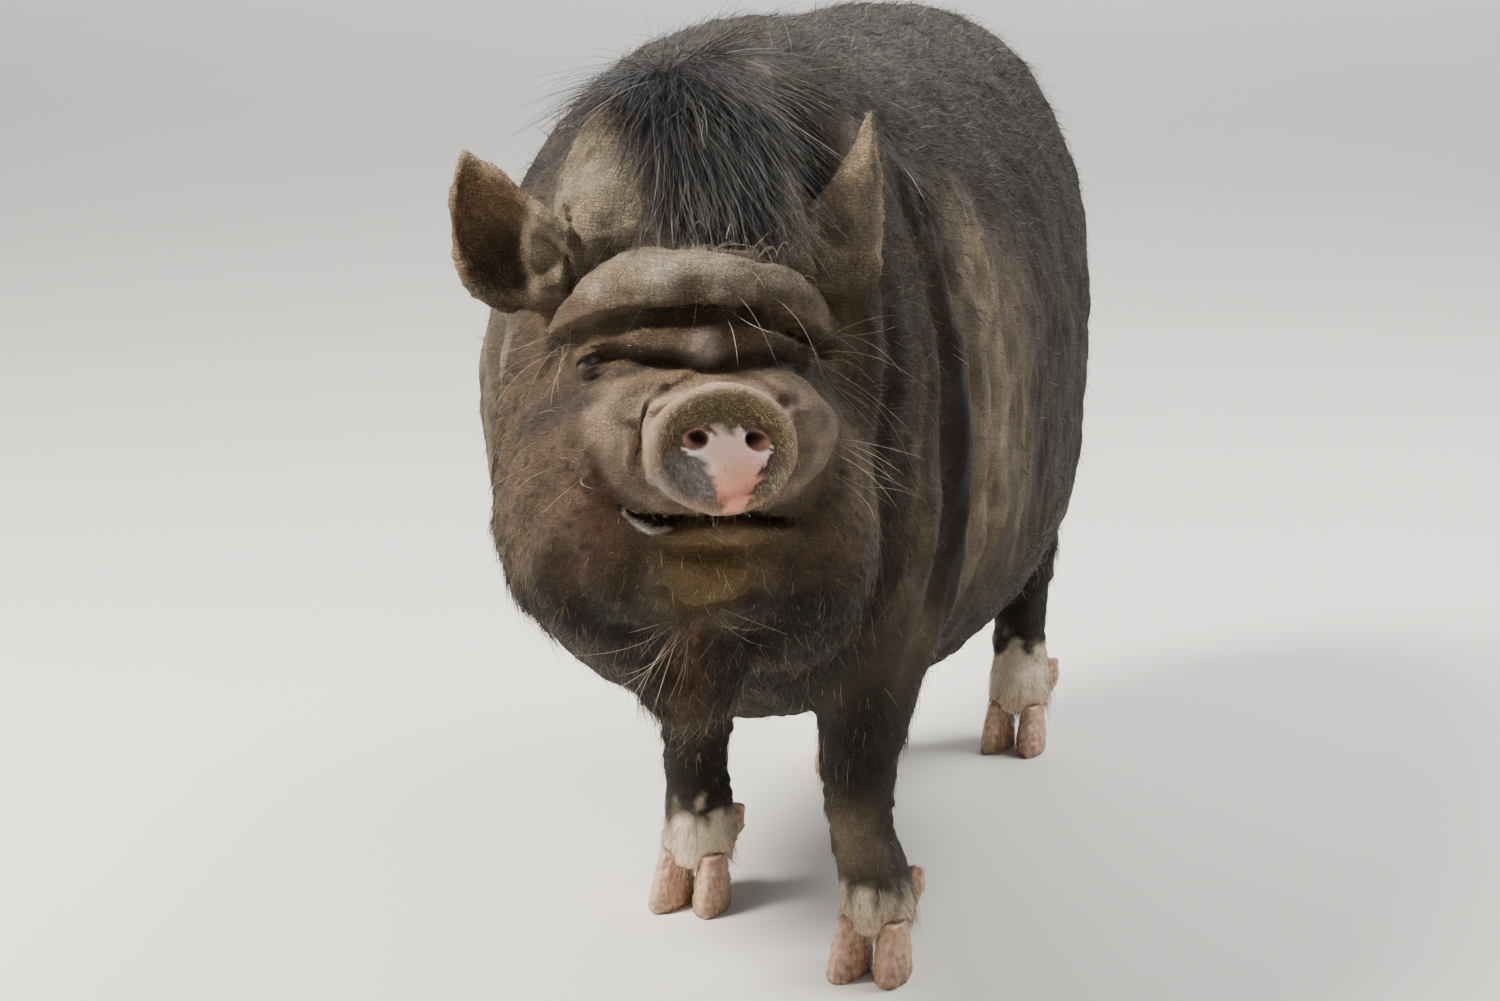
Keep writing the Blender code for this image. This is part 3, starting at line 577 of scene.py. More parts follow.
def shape_disk(local):
    """Widen the snout's disk, raise its rim and hollow its nostrils."""
    x, y, z = local.T
    front = on_disk(local, 0.1, 0.112, 0.06) * ramp(z, -0.0405, -0.0385)
    wide = np.interp(x, DISK_SHIFT_FROM, DISK_SHIFT_TO)
    x += front * (wide - x) * (np.abs(x) < 0.05)
    reach = disk_reach(x, z)
    level = np.percentile(y[(front > 0.9) & (reach < 0.5)], 20)
    pits = (reach < 0.85) & (y > level) & (y < level + 0.0105)
    y[pits] = level + 0.1 * (y[pits] - level)
    push = 0.0014 * bell(reach - 0.9, 0.1) - 0.0014 * bell(reach - 0.68, 0.13)
    push += 0.0025 * np.exp(-np.hypot((x + 0.001) / 0.014, (z + 0.014) / 0.014) ** 2)
    for sign, u, v in nostril_places(x, z):
        oval = np.hypot(u / 0.0066, v / 0.0048)
        deep = np.exp(-(np.hypot((u + sign * 0.0026) / 0.0036, (v - 0.0008) / 0.0032)) ** 2)
        push -= 0.0045 * np.exp(-oval ** 4) + 0.012 * deep
        push += 0.0013 * bell(oval - 1.25, 0.25)
    notch = bell(x + 0.001 - 0.02 * (z + 0.036), 0.0028)
    push -= 0.004 * (notch * fall(z, -0.034, -0.018))
    y -= push * front


# Folds across the trunk: place along the pig, depth, width, and the heights that each runs between.
TRUNK_FOLDS = (
    (-0.252, 0.006, 0.008, 0.18, 0.52), (-0.224, 0.0035, 0.006, 0.24, 0.5),
    (-0.192, 0.0055, 0.0085, 0.16, 0.5), (-0.158, 0.003, 0.0065, 0.26, 0.47),
    (-0.122, 0.0045, 0.008, 0.22, 0.46), (0.205, 0.005, 0.01, 0.16, 0.34),
    (0.238, 0.003, 0.008, 0.18, 0.32),
)


def fold_body(points, normals, strength):
    """Swells, neck rolls and skin folds of the trunk and legs."""
    x, y, z = points.T
    side = ramp(np.abs(x), 0.05, 0.11)
    bend = y + 0.35 * (z - 0.33) ** 2 + 0.004 * waves(points, 0.12, 4)
    heave = np.zeros(len(points))
    for place, depth, width, low, high in TRUNK_FOLDS:
        shape = -bell(bend - place, width) + 0.45 * bell(np.abs(bend - place) - width * 2.0, width * 1.1)
        heave += depth * shape * ramp(z, low - 0.04, low + 0.03) * fall(z, high - 0.05, high + 0.02) * side
    trunk = trunk_share(points)
    heave *= trunk
    heave += 0.0016 * waves(points, 0.09, 5) * trunk
    stretched = points * np.array([1.0, 1.6, 0.45])
    heave += 0.0008 * waves(stretched, 0.022, 6, 20) * trunk
    rings = points * np.array([0.4, 0.4, 1.0])
    heave += 0.0007 * waves(rings, 0.01, 7) * leg_share(points) * ramp(z, 0.05, 0.07) * fall(z, 0.11, 0.2)
    return points + normals * (strength * heave)[:, None]


def shape_left_ear(local, share):
    """Narrow the left ear towards its tip and round it out, like a horn."""
    x, y, z = local.T
    chosen = np.flatnonzero((share > 0.02) & (z > EAR_ROOT_Z))
    across, up = x[chosen], z[chosen]
    steps = np.linspace(up.min(), up.max(), 12)
    band = np.clip(np.digitize(up, steps) - 1, 0, 10)
    at = (steps[1:] + steps[:-1]) / 2
    right = np.interp(up, at, np.array([across[band == k].max() for k in range(11)]))
    left = np.interp(up, at, np.array([across[band == k].min() for k in range(11)]))
    height = (up - EAR_ROOT_Z) / (steps[-1] - EAR_ROOT_Z)
    narrow = np.interp(height, EAR_UP, EAR_WIDTH)
    place = np.clip((across - left) / np.maximum(right - left, 1e-4), 0.0, 1.0)
    fade = ramp(height, 0.0, 0.2) * ramp(share[chosen], 0.02, 0.5)
    x[chosen] += fade * (right - (right - across) * narrow - across)
    y[chosen] -= fade * 0.007 * (1.0 - (2.0 * place - 1.0) ** 2) * (1.0 - 0.6 * height)
    top = np.interp(x, NOTCH_ACROSS, NOTCH_TOP) - 0.4 * np.clip(y - 0.006, 0.0, 0.06)
    back = 0.045 + 0.03 * ramp(x, 0.072, 0.08)
    over = np.maximum(z - top, 0.0) * fall(y, back - 0.007, back + 0.01)
    z -= over * (z < 0.23) * 0.92


def joined_flesh(growth):
    """Copies of the flesh solids, grown to close the cuts between them, in one mesh."""
    whole = bmesh.new()
    for name in FLESH + ["eye_left", "eye_right"]:
        bm = merged_copy(name)
        bm.normal_update()
        for vert in bm.verts:
            vert.co += vert.normal * growth
        part = to_mesh(bm, "part")
        whole.from_mesh(part)
        bpy.data.meshes.remove(part)
    return new_object("skin", to_mesh(whole, "skin"))


def keep_largest(obj):
    """Drop every shell but the largest, such as those left round inner gaps."""
    bm = bmesh.new()
    bm.from_mesh(obj.data)
    seen = set()
    shells = []
    for start in bm.verts:
        if start in seen:
            continue
        seen.add(start)
        shell = [start]
        for vert in shell:
            for edge in vert.link_edges:
                other = edge.other_vert(vert)
                if other not in seen:
                    seen.add(other)
                    shell.append(other)
        shells.append(shell)
    shells.sort(key=len)
    bmesh.ops.delete(bm, geom=[v for shell in shells[:-1] for v in shell], context="VERTS")
    bm.to_mesh(obj.data)
    bm.free()


def refine(obj, chosen):
    """Cut each face whose corners are all chosen into four."""
    bm = bmesh.new()
    bm.from_mesh(obj.data)
    bm.verts.ensure_lookup_table()
    picked = set(np.flatnonzero(chosen).tolist())
    edges = [e for e in bm.edges if e.verts[0].index in picked and e.verts[1].index in picked]
    bmesh.ops.subdivide_edges(bm, edges=edges, cuts=1, use_grid_fill=True, smooth=0.0)
    bm.to_mesh(obj.data)
    bm.free()


def rough_skin(settings):
    """One closed skin over all the flesh, eased, set in under the coat and folded on the body."""
    skin = joined_flesh(settings.gap_growth)
    fuse(skin, settings.cell)
    keep_largest(skin)
    ease(skin, settings.body_rounds, trunk_share(points_of(skin.data)))
    ears = near_ears(points_of(skin.data), 0.006)
    ease(skin, settings.fine_rounds, np.clip(1.0 - 0.85 * ears, 0.1, 1.0))
    co = points_of(skin.data)
    normals = normals_of(skin.data)
    inset = settings.coat_depth * (1.0 - 0.6 * head_share(co)) * (1.0 - 0.7 * leg_share(co))
    inset = inset * (1.0 - near_ears(co, 0.004)) * (1.0 - 0.7 * tail_share(co))
    co -= normals * inset[:, None]
    put_points(skin.data, fold_body(co, normals, settings.fold_depth))
    return skin


def shape_face(skin, strength):
    """Press the folds, muzzle, lids, disk and left ear into the head, on a finer grid in front."""
    co = points_of(skin.data)
    refine(skin, (to_head(co)[:, 1] < -0.03) & (head_share(co) > 0.9))
    co = points_of(skin.data)
    local = to_head(co)
    heading = normals_of(skin.data) @ HEAD_AXES
    front = head_share(co)
    heave = np.zeros(len(co))
    apply_lines(local, heave, strength)
    lumps = 0.0009 * waves(local, 0.03, 11) + 0.00018 * waves(local * np.array([1, 1, 1.8]), 0.01, 12, 20)
    heave = (heave + strength * lumps) * (1.0 - ramp(-local[:, 1], 0.1, 0.112))
    local = local + heading * (heave * front)[:, None]
    push_out(local, strength)
    open_lids(local, strength)
    shape_disk(local)
    shape_left_ear(local, nearness(co, "ear_left", 0.008))
    put_points(skin.data, co + (from_head(local) - co) * front[:, None])


def thin(obj, weights, wanted):
    """Thin an object to a number of triangles; a weight of nothing keeps a vertex."""
    cut = obj.modifiers.new("thin", "DECIMATE")
    cut.ratio = wanted / sum(len(p.vertices) - 2 for p in obj.data.polygons)
    cut.vertex_group_factor = 1.0
    weigh(obj, cut, weights)


# The body's share of the skin's triangles.
BODY_TRIANGLES = 0.34
# Two faces whose normals' product is below this double back on each other.
DOUBLED_BACK = -0.3


def relax_folds(obj):
    """Ease the few places where the surface doubles back on itself."""
    bm = bmesh.new()
    bm.from_mesh(obj.data)
    picked = set()
    for edge in bm.edges:
        if edge.is_manifold and edge.link_faces[0].normal.dot(edge.link_faces[1].normal) < DOUBLED_BACK:
            picked.update(edge.verts)
    for _ in range(2):
        picked.update([edge.other_vert(vert) for vert in picked for edge in vert.link_edges])
    for _ in range(10):
        bmesh.ops.smooth_vert(bm, verts=list(picked), factor=0.5, use_axis_x=True, use_axis_y=True,
                              use_axis_z=True)
    bm.to_mesh(obj.data)
    bm.free()


def thin_skin(skin, settings):
    """Thin the body and then the head, so that each keeps its share of the triangles."""
    body = head_share(points_of(skin.data)) < 0.5
    faces = sum(len(p.vertices) - 2 for p in skin.data.polygons if not body[p.vertices[0]])
    thin(skin, body.astype(float), faces + BODY_TRIANGLES * settings.triangles)
    body = head_share(points_of(skin.data)) < 0.5
    thin(skin, 1.0 - body, settings.triangles)
    relax_folds(skin)
    shade_smooth(skin.data)


# ---------------------------------------------------------------- markings
# Tones that only one marking has. Some are painted shade: the chest's, the nostrils' openings, the mouth's
# gap, and the tones under the brow, under the face, beside the chin, under the jaw, behind the left cheek and
# deep in the right ear; the pale tone of the brow's top is a painted highlight.
TONES = {name: linear(*steps) for name, steps in {
    "flank band": (26, 23, 22), "chest": (13, 10, 9), "leg": (20, 17, 15),
    "disk top": (84, 70, 52), "disk right": (116, 108, 106), "disk left": (78, 68, 62),
    "disk foot": (128, 90, 62), "patch pale": (250, 238, 230), "patch flush": (228, 138, 108),
    "nostril rim": (224, 164, 146), "nostril": (52, 25, 22),
    "face": (82, 65, 48), "lower face": (22, 17, 13), "brow top": (204, 186, 160),
    "under brow": (112, 86, 54), "brow spot": (232, 216, 196), "nose fold": (112, 92, 72),
    "nose spot": (226, 204, 190),
    "muzzle blotch": (156, 128, 110), "beside chin": (32, 24, 17), "under jaw left": (8, 6, 6),
    "under jaw right": (14, 10, 8), "dewlap": (92, 66, 40), "cheek flush": (122, 72, 50),
    "behind cheek": (30, 24, 20), "lip": (240, 230, 206), "mouth": (14, 9, 8),
    "ear tip": (196, 176, 152), "ear root": (70, 52, 38), "ear inside": (148, 116, 84),
    "ear wall": (150, 122, 92), "ear hollow": (12, 8, 6),
    "eyeball": (30, 20, 16), "iris edge": (34, 20, 12), "pupil": (8, 6, 6),
}.items()}
# The bare patch on the disk: its right and left edge at each height.
PATCH_Z = (-0.034, -0.0257, -0.016, -0.0048, 0.0013, 0.006, 0.0105)
PATCH_RIGHT = (-0.002, -0.005, -0.007, -0.013, -0.024, -0.012, -0.01)
PATCH_LEFT = (0.009, 0.014, 0.02, 0.0255, 0.026, 0.016, 0.012)
# How high each foot's pale sock reaches.
SOCKS = {("front", "right"): 0.06, ("front", "left"): 0.05, ("hind", "left"): 0.074, ("hind", "right"): 0.064}
# The pale lip, in millimetres.
LIP_LINE = ((-48, -77, -35), (-42, -78, -41), (-36, -83, -45), (-28, -91, -44))
# Pale spots on the brow: place in millimetres, and size.
BROW_SPOTS = (((-22, -87, 100), 0.011), ((-58, -63, 90), 0.006), ((10, -88, 92), 0.01))


def mix(tint, other, share):
    """Carry each point's colour towards another one by its share."""
    share = np.clip(share, 0.0, 1.0)[:, None]
    tint += (np.array(other) - tint) * share


def speckled(tone, noise):
    """A tone for each point, lighter or darker by the noise."""
    return np.array(tone) * (1 + noise)[:, None]


def mark_body(tint, points, normals, c):
    """Colours of the trunk, legs, socks and tail."""
    x, y, z = points.T
    patchy = waves(points, 0.07, 21)
    mix(tint, c.dark, 0.8 * ramp(z, 0.38, 0.5) + 0.1 * patchy)
    bands = waves(points * np.array([0.5, 1.0, 0.15]), 0.055, 22)
    mix(tint, c.dark, 0.45 * ramp(bands, 0.1, 1.2) * fall(z, 0.4, 0.48))
    mix(tint, c.dusty, 0.22 * ramp(-bands, 0.3, 1.3) * (y < 0.1) * fall(z, 0.4, 0.46))
    side = ramp(np.abs(x - 0.02), 0.075, 0.095) * ramp(z, 0.2, 0.27) * fall(z, 0.44, 0.5)
    stripe = bell(y + 0.236 + 0.03 * (z - 0.4), 0.013) + bell(y + 0.12, 0.028)
    streaks = 1 + 0.3 * waves(points * np.array([1, 1, 0.4]), 0.012, 32)
    mix(tint, c.dusty, (0.3 + 0.3 * (x > 0)) * side * stripe * streaks)
    mix(tint, TONES["flank band"], 0.75 * side * (bell(y + 0.182, 0.016) + ramp(y, -0.075, -0.02)))
    # Painted shade: the skin darkens where it faces down, under the belly, neck and legs.
    mix(tint, c.dark, 0.75 * ramp(-normals[:, 2], 0.05, 0.7))
    # Painted shade: the chest low under the head is darkened nearly to black.
    mix(tint, TONES["chest"], 0.92 * ramp(-y, 0.2, 0.26) * fall(z, 0.24, 0.32) * ramp(z, 0.09, 0.13))
    mix(tint, TONES["leg"], 0.85 * leg_share(points))
    for pair, side, spot in LEG_SPOTS:
        near = beside(points, spot) < 0.075
        top = SOCKS[(pair, side)] + 0.006 * waves(points, 0.02, 23)
        mix(tint, c.cream, 0.85 * near * fall(z, top - 0.008, top + 0.006))
        mix(tint, c.horn, 0.45 * near * fall(z, 0.034, 0.046))
    front_left = LEG_SPOTS[0][2]
    shin = beside(points, front_left) < 0.06
    mix(tint, c.dusty, 0.5 * shin * bell(z - 0.085, 0.02) * ramp(-normals[:, 1], 0.2, 0.9))
    mix(tint, c.dark, 0.6 * tail_share(points))


def mark_disk(tint, local, c):
    """Colours of the snout's disk with its bare patch and nostrils; gives back how wet each point is."""
    x, _, z = local.T
    disk = on_disk(local, 0.104, 0.112)
    speckle = waves(local, 0.0045, 31, 24)
    fleck = np.clip(speckle, -1, 1)
    face = speckled(TONES["disk top"], 0.25 * fleck)
    lower = fall(z, -0.01, 0.004)
    right = speckled(TONES["disk right"], 0.3 * fleck) - face
    left = speckled(TONES["disk left"], 0.3 * fleck) - face
    face = face + right * (lower * (x < 0.0))[:, None] + left * (lower * (x >= 0.0))[:, None]
    rim = ramp(disk_reach(x, z), 0.8, 0.9) * (0.35 + 0.65 * ramp(z, -0.02, 0.0))
    face += (np.array(c.muzzle) * 0.85 - face) * rim[:, None]
    mix(face, TONES["disk foot"], 0.5 * bell(z + 0.032, 0.005) * (np.abs(x) < 0.03))
    wobble = 0.0012 * speckle
    right = np.interp(z, PATCH_Z, PATCH_RIGHT) + wobble
    left = np.interp(z, PATCH_Z, PATCH_LEFT) + wobble
    patch = ramp(x, right - 0.0005, right + 0.0012) * fall(x, left - 0.0012, left + 0.0005)
    patch *= ramp(z, -0.038, -0.031) * fall(z + wobble, 0.0085, 0.0105)
    bare = np.broadcast_to(np.array(c.pink), face.shape).copy()
    pale = bell(x - right, 0.006) * ramp(z, -0.018, -0.004) + bell(x - left, 0.005) * ramp(z, -0.012, -0.002)
    mix(bare, TONES["patch pale"], 0.95 * np.clip(pale + 0.45 * ramp(z, -0.016, 0.002), 0, 1))
    mix(bare, TONES["patch flush"], 0.35 * fall(z, -0.03, -0.012))
    face += (bare - face) * patch[:, None]
    for sign, u, v in nostril_places(x, z):
        hole = fall(np.hypot(u / 0.0076, v / 0.0056), 0.8, 1.1)
        mix(face, TONES["nostril rim"], hole)
        # Painted shade: one side of each nostril's opening is darkened, as the shade in the hole.
        mix(face, TONES["nostril"], 0.92 * (hole * ramp((v - sign * u) / 0.006, -1.0, 0.25)))
    tint += (face - tint) * disk[:, None]
    return disk * patch


def mark_brow(face, local, normals, c):
    """The pale brow and forehead with a painted highlight on its top, the dark crown, and the folds over the
    nose, with painted shade under the brow, on the head's left side behind the face and in the crease under
    the nose fold.
    """
    x, y, z = local.T
    mix(face, c.dusty, (0.85 + 0.25 * waves(local, 0.022, 24)) * ramp(z, 0.078, 0.09))
    # Painted highlight: the brow's top is paler where it faces up.
    mix(face, TONES["brow top"], 0.5 * ramp(z, 0.1, 0.112) * ramp(normals[:, 2], 0.3, 0.9))
    # Painted shade: a darker band under the brow's overhang, over the eyes.
    mix(face, TONES["under brow"], 0.55 * ramp(z, 0.06, 0.075) * fall(z, 0.08, 0.095))
    crown = ramp(z, 0.112, 0.124) * ramp(x, -0.026, -0.01) * fall(x, 0.046, 0.06)
    mix(face, c.dark, 0.85 * crown + 0.35 * ramp(z, 0.155, 0.185))
    # Painted shade: the head's left side behind the face, by the left ear and the neck, is darkened.
    mix(face, c.dark, 0.8 * ramp(x, 0.086, 0.1) * ramp(y, -0.012, 0.004))
    for spot, size in BROW_SPOTS:
        reach = np.linalg.norm(local - metres(spot), axis=1)
        mix(face, TONES["brow spot"], 0.65 * bell(reach, size))
    mix(face, TONES["nose fold"], 0.8 * (bell(z - 0.06 - 0.2 * np.abs(x - 0.01), 0.012) * (y < -0.03)))
    # Painted shade: a dark arch along the crease under the nose fold, away from its middle.
    arch = bell(z - 0.05 + 3.5 * (x - 0.006) ** 2, 0.008) * ramp(np.abs(x - 0.004), 0.022, 0.04)
    mix(face, c.dark, 0.75 * arch * (y < -0.01))
    spot = np.exp(-(((x + 0.003) / 0.008) ** 2 + ((z - 0.055) / 0.01) ** 2))
    mix(face, TONES["nose spot"], 0.75 * spot * (y < -0.05))


def mark_muzzle(face, local, c):
    """The muzzle's dome, and the cheeks' flush round it."""
    _, y, z = local.T
    patchy = waves(local, 0.022, 24)
    inside = fall(mound_reach(local), 0.9, 1.06) * ramp(-y, 0.045, 0.06)
    mix(face, c.muzzle, inside * (0.85 + 0.2 * patchy))
    mix(face, c.ochre, 0.45 * inside * ramp(z, 0.03, 0.042))
    mix(face, TONES["muzzle blotch"], 0.5 * inside * ramp(patchy, 0.4, 1.4))
    return inside


def mark_chin(face, local, inside, c):
    """The chin, the painted shade under it and under the jaw's jowls, beside the chin and behind the left
    cheek, the dewlap and the cheeks.
    """
    x, y, z = local.T
    chin = bell(x - 0.002, 0.034) * ramp(-y, 0.03, 0.06) * fall(z, -0.046, -0.036)
    mix(face, c.ochre, 0.85 * chin)
    # Painted shade: the chin's underside is darkened.
    mix(face, c.dark, 0.6 * chin * fall(z, -0.098, -0.088))
    # Painted shade: the hollows either side of the chin are darkened.
    flank = bell(np.abs(x - 0.002) - 0.046, 0.01) * bell(z + 0.075, 0.026) * (y < -0.03)
    mix(face, TONES["beside chin"], 0.65 * flank)
    # Painted shade: nearly black under the jaw on both sides.
    below = fall(z + 0.15 * y, -0.102, -0.088)
    mix(face, TONES["under jaw left"], np.clip(1.5 * bell(x - 0.05 - 0.1 * y, 0.028), 0, 0.95) * below)
    mix(face, TONES["under jaw right"], np.clip(1.3 * bell(x + 0.062, 0.022), 0, 0.85) * below)
    mix(face, TONES["dewlap"], 0.6 * bell(x + 0.006, 0.013) * fall(z, -0.112, -0.1))
    flush = np.exp(-((x + 0.064) / 0.016) ** 2 - ((z + 0.04) / 0.034) ** 2)
    mix(face, TONES["cheek flush"], 0.24 * flush * (1 - inside) * (y < 0.0))
    # Painted shade: the neck behind the left jowl is darkened nearly to black.
    behind = ramp(x, 0.106, 0.118)
    mix(face, TONES["behind cheek"], 0.85 * behind * bell(y - 0.004, 0.024) * ramp(z, -0.12, -0.09))


def line_share(local, line, start, end):
    """1 on a line of the face, falling from start to end beside it."""
    near, gap, _ = along(local, line, 0.02)
    share = np.zeros(len(local))
    share[near] = fall(gap, start, end)
    return share


def mark_head(tint, local, normals, c):
    """Colours of the head; gives back how wet each point is."""
    x, y, z = local.T
    head = fall(y + 0.25 * np.abs(x), 0.06, 0.11)
    face = speckled(TONES["face"], 0.1 * waves(local, 0.022, 24) + 0.08 * waves(local, 0.006, 25, 24))
    # Painted shade: the face darkens towards the jaw's underside and where it faces down.
    mix(face, TONES["lower face"], 0.9 * fall(z, -0.112, -0.056) + 0.6 * ramp(-normals[:, 2], 0.2, 0.8))
    mark_brow(face, local, normals, c)
    mark_chin(face, local, mark_muzzle(face, local, c), c)
    lip = line_share(local, metres(LIP_LINE), 0.0022, 0.0042)
    mix(face, TONES["lip"], 0.95 * lip)
    # Painted shade: a dark line along the mouth's gap.
    mouth = line_share(local, metres(FACE_LINES["mouth"][0]), 0.0026, 0.0048)
    mix(face, TONES["mouth"], 0.95 * mouth * (1 - 0.8 * lip))
    wet = mark_disk(face, local, c)
    tint += (face - tint) * head[:, None]
    return wet * head


def mark_ears(tint, points, local, normals, c):
    """Colours of both ears, and the right one's hollow, which faces forward, with painted shade deep in it.
    """
    facing = (normals @ HEAD_AXES)[:, 1]
    for side in SIDES:
        share = ramp(nearness(points, f"ear_{side}", 0.005), 0.1, 0.6) * ramp(local[:, 2], 0.085, 0.105)
        low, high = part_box(f"ear_{side}")
        rise = np.clip((points[:, 2] - low.z) / (high.z - low.z), 0, 1)
        outer = np.array(c.ear) * (0.9 + 0.1 * waves(points, 0.012, 26))[:, None]
        mix(outer, TONES["ear tip"], 0.5 * ramp(rise, 0.7, 1.0))
        if side == "left":
            mix(outer, TONES["ear root"], 0.6 * fall(rise, 0.0, 0.3))
        else:
            wall = ramp(local[:, 0], -0.0935, -0.089)
            cup = ramp(-facing, 0.05, 0.5) * fall(np.abs(rise - 0.45), 0.38, 0.5) * (1 - wall)
            inner = speckled(TONES["ear inside"], 0.15 * waves(points, 0.01, 27))
            outer += (inner - outer) * cup[:, None]
            mix(outer, TONES["ear wall"], 0.7 * wall * (local[:, 2] < 0.16))
            # Painted shade: nearly black deep in the right ear's hollow.
            deep = np.linalg.norm(local - np.array((-0.1, -0.008, 0.112)), axis=1)
            mix(outer, TONES["ear hollow"], 0.97 * cup * bell(deep, 0.023))
        tint += (outer - tint) * share[:, None]


def markings(points, normals, c):
    """Skin colour at points, with how wet the skin is there."""
    tint = speckled(c.hide, 0.14 * waves(points, 0.045, 20) + 0.06 * waves(points, 0.012, 28))
    local = to_head(points)
    mark_body(tint, points, normals, c)
    wet = mark_head(tint, local, normals @ HEAD_AXES, c)
    mark_ears(tint, points, local, normals, c)
    return np.clip(tint, 0.002, 1.0), wet


def hollows(mesh, rounds=3):
    """How far each vertex lies in a crease: above nothing in it, below nothing on a ridge."""
    co = points_of(mesh)
    a, b = read(mesh.edges, "vertices", 2, np.int32).T
    count = len(co)
    links = np.maximum(np.bincount(a, minlength=count) + np.bincount(b, minlength=count), 1)

    def spread(at_a, at_b):
        return (np.bincount(a, at_b, count) + np.bincount(b, at_a, count)) / links

    mean = np.stack([spread(co[a, k], co[b, k]) for k in range(3)], axis=1)
    lengths = np.linalg.norm(co[a] - co[b], axis=1)
    bend = np.einsum("ij,ij->i", mean - co, normals_of(mesh)) / np.maximum(spread(lengths, lengths), 1e-6)
    for _ in range(rounds):
        bend = 0.5 * bend + 0.5 * spread(bend[a], bend[b])
    return bend


def store(mesh, name, values):
    """Store a colour for each vertex of a mesh."""
    rows = np.ones((len(values), 4), np.float32)
    rows[:, :3] = values
    mesh.attributes.new(name, "FLOAT_COLOR", "POINT").data.foreach_set("color", rows.ravel())


def finish_skin(skin, colours):
    """Colours, wetness and wrinkle strength of the skin, with painted shade in its creases and painted
    highlights on its ridges, and its bake map.
    """
    co = points_of(skin.data)
    normals = normals_of(skin.data)
    tint, wet = markings(co, normals, colours)
    bend = hollows(skin.data)
    # Painted shade: the skin darkens in its creases.
    tint *= (1.0 - 0.75 * ramp(bend, 0.05, 0.32))[:, None]
    local = to_head(co)
    # Painted highlight: the ears' ridges and rims are paler.
    ears = near_ears(co, 0.004) * ramp(local[:, 2], 0.09, 0.11)
    mix(tint, np.array(colours.ear) * 1.15, 0.8 * ears * ramp(-bend, 0.06, 0.22))
    # Painted highlight: all ridges are a little lighter.
    tint *= (1.0 + 0.25 * ramp(-bend, 0.05, 0.3))[:, None]
    wrinkled = 0.6 + 0.4 * ramp(local[:, 2], 0.05, 0.09) * head_share(co)
    wrinkled += 0.16 * fall(mound_reach(local), 0.9, 1.1) * ramp(-local[:, 1], 0.04, 0.06)
    wrinkled *= 1.0 - 0.85 * ramp(-local[:, 1], 0.104, 0.112)
    wrinkled *= ramp(co[:, 2], 0.05, 0.08)
    # The stored tint holds this painted shade and these highlights, and the bristles take them up at their
    # roots.
    store(skin.data, "tint", np.clip(tint, 0.001, 1.0))
    store(skin.data, "relief", np.stack([wrinkled, wet, np.zeros(len(co))], 1))
    lay_map(skin.data)


# ---------------------------------------------------------------- bake map
# Charts of the skin: (left, bottom, width, height) in the map.
CHARTS = {
    "head": (0.02, 0.42, 0.56, 0.56), "trunk": (0.02, 0.02, 0.56, 0.37),
    "ear_left_front": (0.61, 0.8, 0.17, 0.18), "ear_left_back": (0.8, 0.8, 0.17, 0.18),
    "ear_right_front": (0.61, 0.6, 0.17, 0.18), "ear_right_back": (0.8, 0.6, 0.17, 0.18),
    "leg_front_left": (0.61, 0.02, 0.08, 0.54), "leg_front_right": (0.705, 0.02, 0.08, 0.54),
    "leg_hind_left": (0.8, 0.02, 0.08, 0.54), "leg_hind_right": (0.895, 0.02, 0.08, 0.54),
}
CHART_NAMES = list(CHARTS)


def chart_of(points, normals):
    """The chart that each point of the skin belongs to."""
    local = to_head(points)
    chart = np.full(len(points), CHART_NAMES.index("trunk"))
    chart[head_share(points) > 0.5] = CHART_NAMES.index("head")
    legs = leg_share(points) > 0.35
    for pair, side, spot in LEG_SPOTS:
        chart[legs & (beside(points, spot) < 0.09)] = CHART_NAMES.index(f"leg_{pair}_{side}")
    facing = (normals @ HEAD_AXES)[:, 1]
    for side in SIDES:
        ear = (nearness(points, f"ear_{side}", 0.005) > 0.3) & (local[:, 2] > 0.1)
        chart[ear & (facing < 0)] = CHART_NAMES.index(f"ear_{side}_front")
        chart[ear & (facing >= 0)] = CHART_NAMES.index(f"ear_{side}_back")
    return chart


def place_in(points, chart):
    """Where points of one chart lie in it, from 0 to 1; a full turn is one wide."""
    name = CHART_NAMES[chart]
    if name == "head":
        aim = unit(to_head(points) - np.array((0.005, 0.03, 0.02)))
        tilt = np.arccos(np.clip(-aim[:, 1], -1, 1)) / 4.6
        flat = unit(aim[:, [0, 2]])
        return 0.5 + flat * tilt[:, None]
    if name == "trunk":
        offset = points - np.array((0.02, 0.1, 0.33))
        turn = np.arctan2(offset[:, 0], offset[:, 2]) / (2 * math.pi) + 0.5
        tilt = np.arctan2(np.hypot(offset[:, 0], offset[:, 2]) * 1.6, offset[:, 1]) / math.pi
        return np.stack([turn, tilt], 1)
    if name.startswith("ear"):
        side = name.split("_")[1]
        low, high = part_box(f"ear_{side}")
        corners = to_head(np.array(list(itertools.product(*zip(low, high)))))
        small, large = corners.min(axis=0), corners.max(axis=0)
        return ((to_head(points) - small) / (large - small))[:, [0, 2]]
    spot = next(s for pair, side, s in LEG_SPOTS if name == f"leg_{pair}_{side}")
    turn = np.arctan2(points[:, 0] - spot.x, points[:, 1] - spot.y) / (2 * math.pi) + 0.5
    return np.stack([turn, points[:, 2] / 0.26], 1)


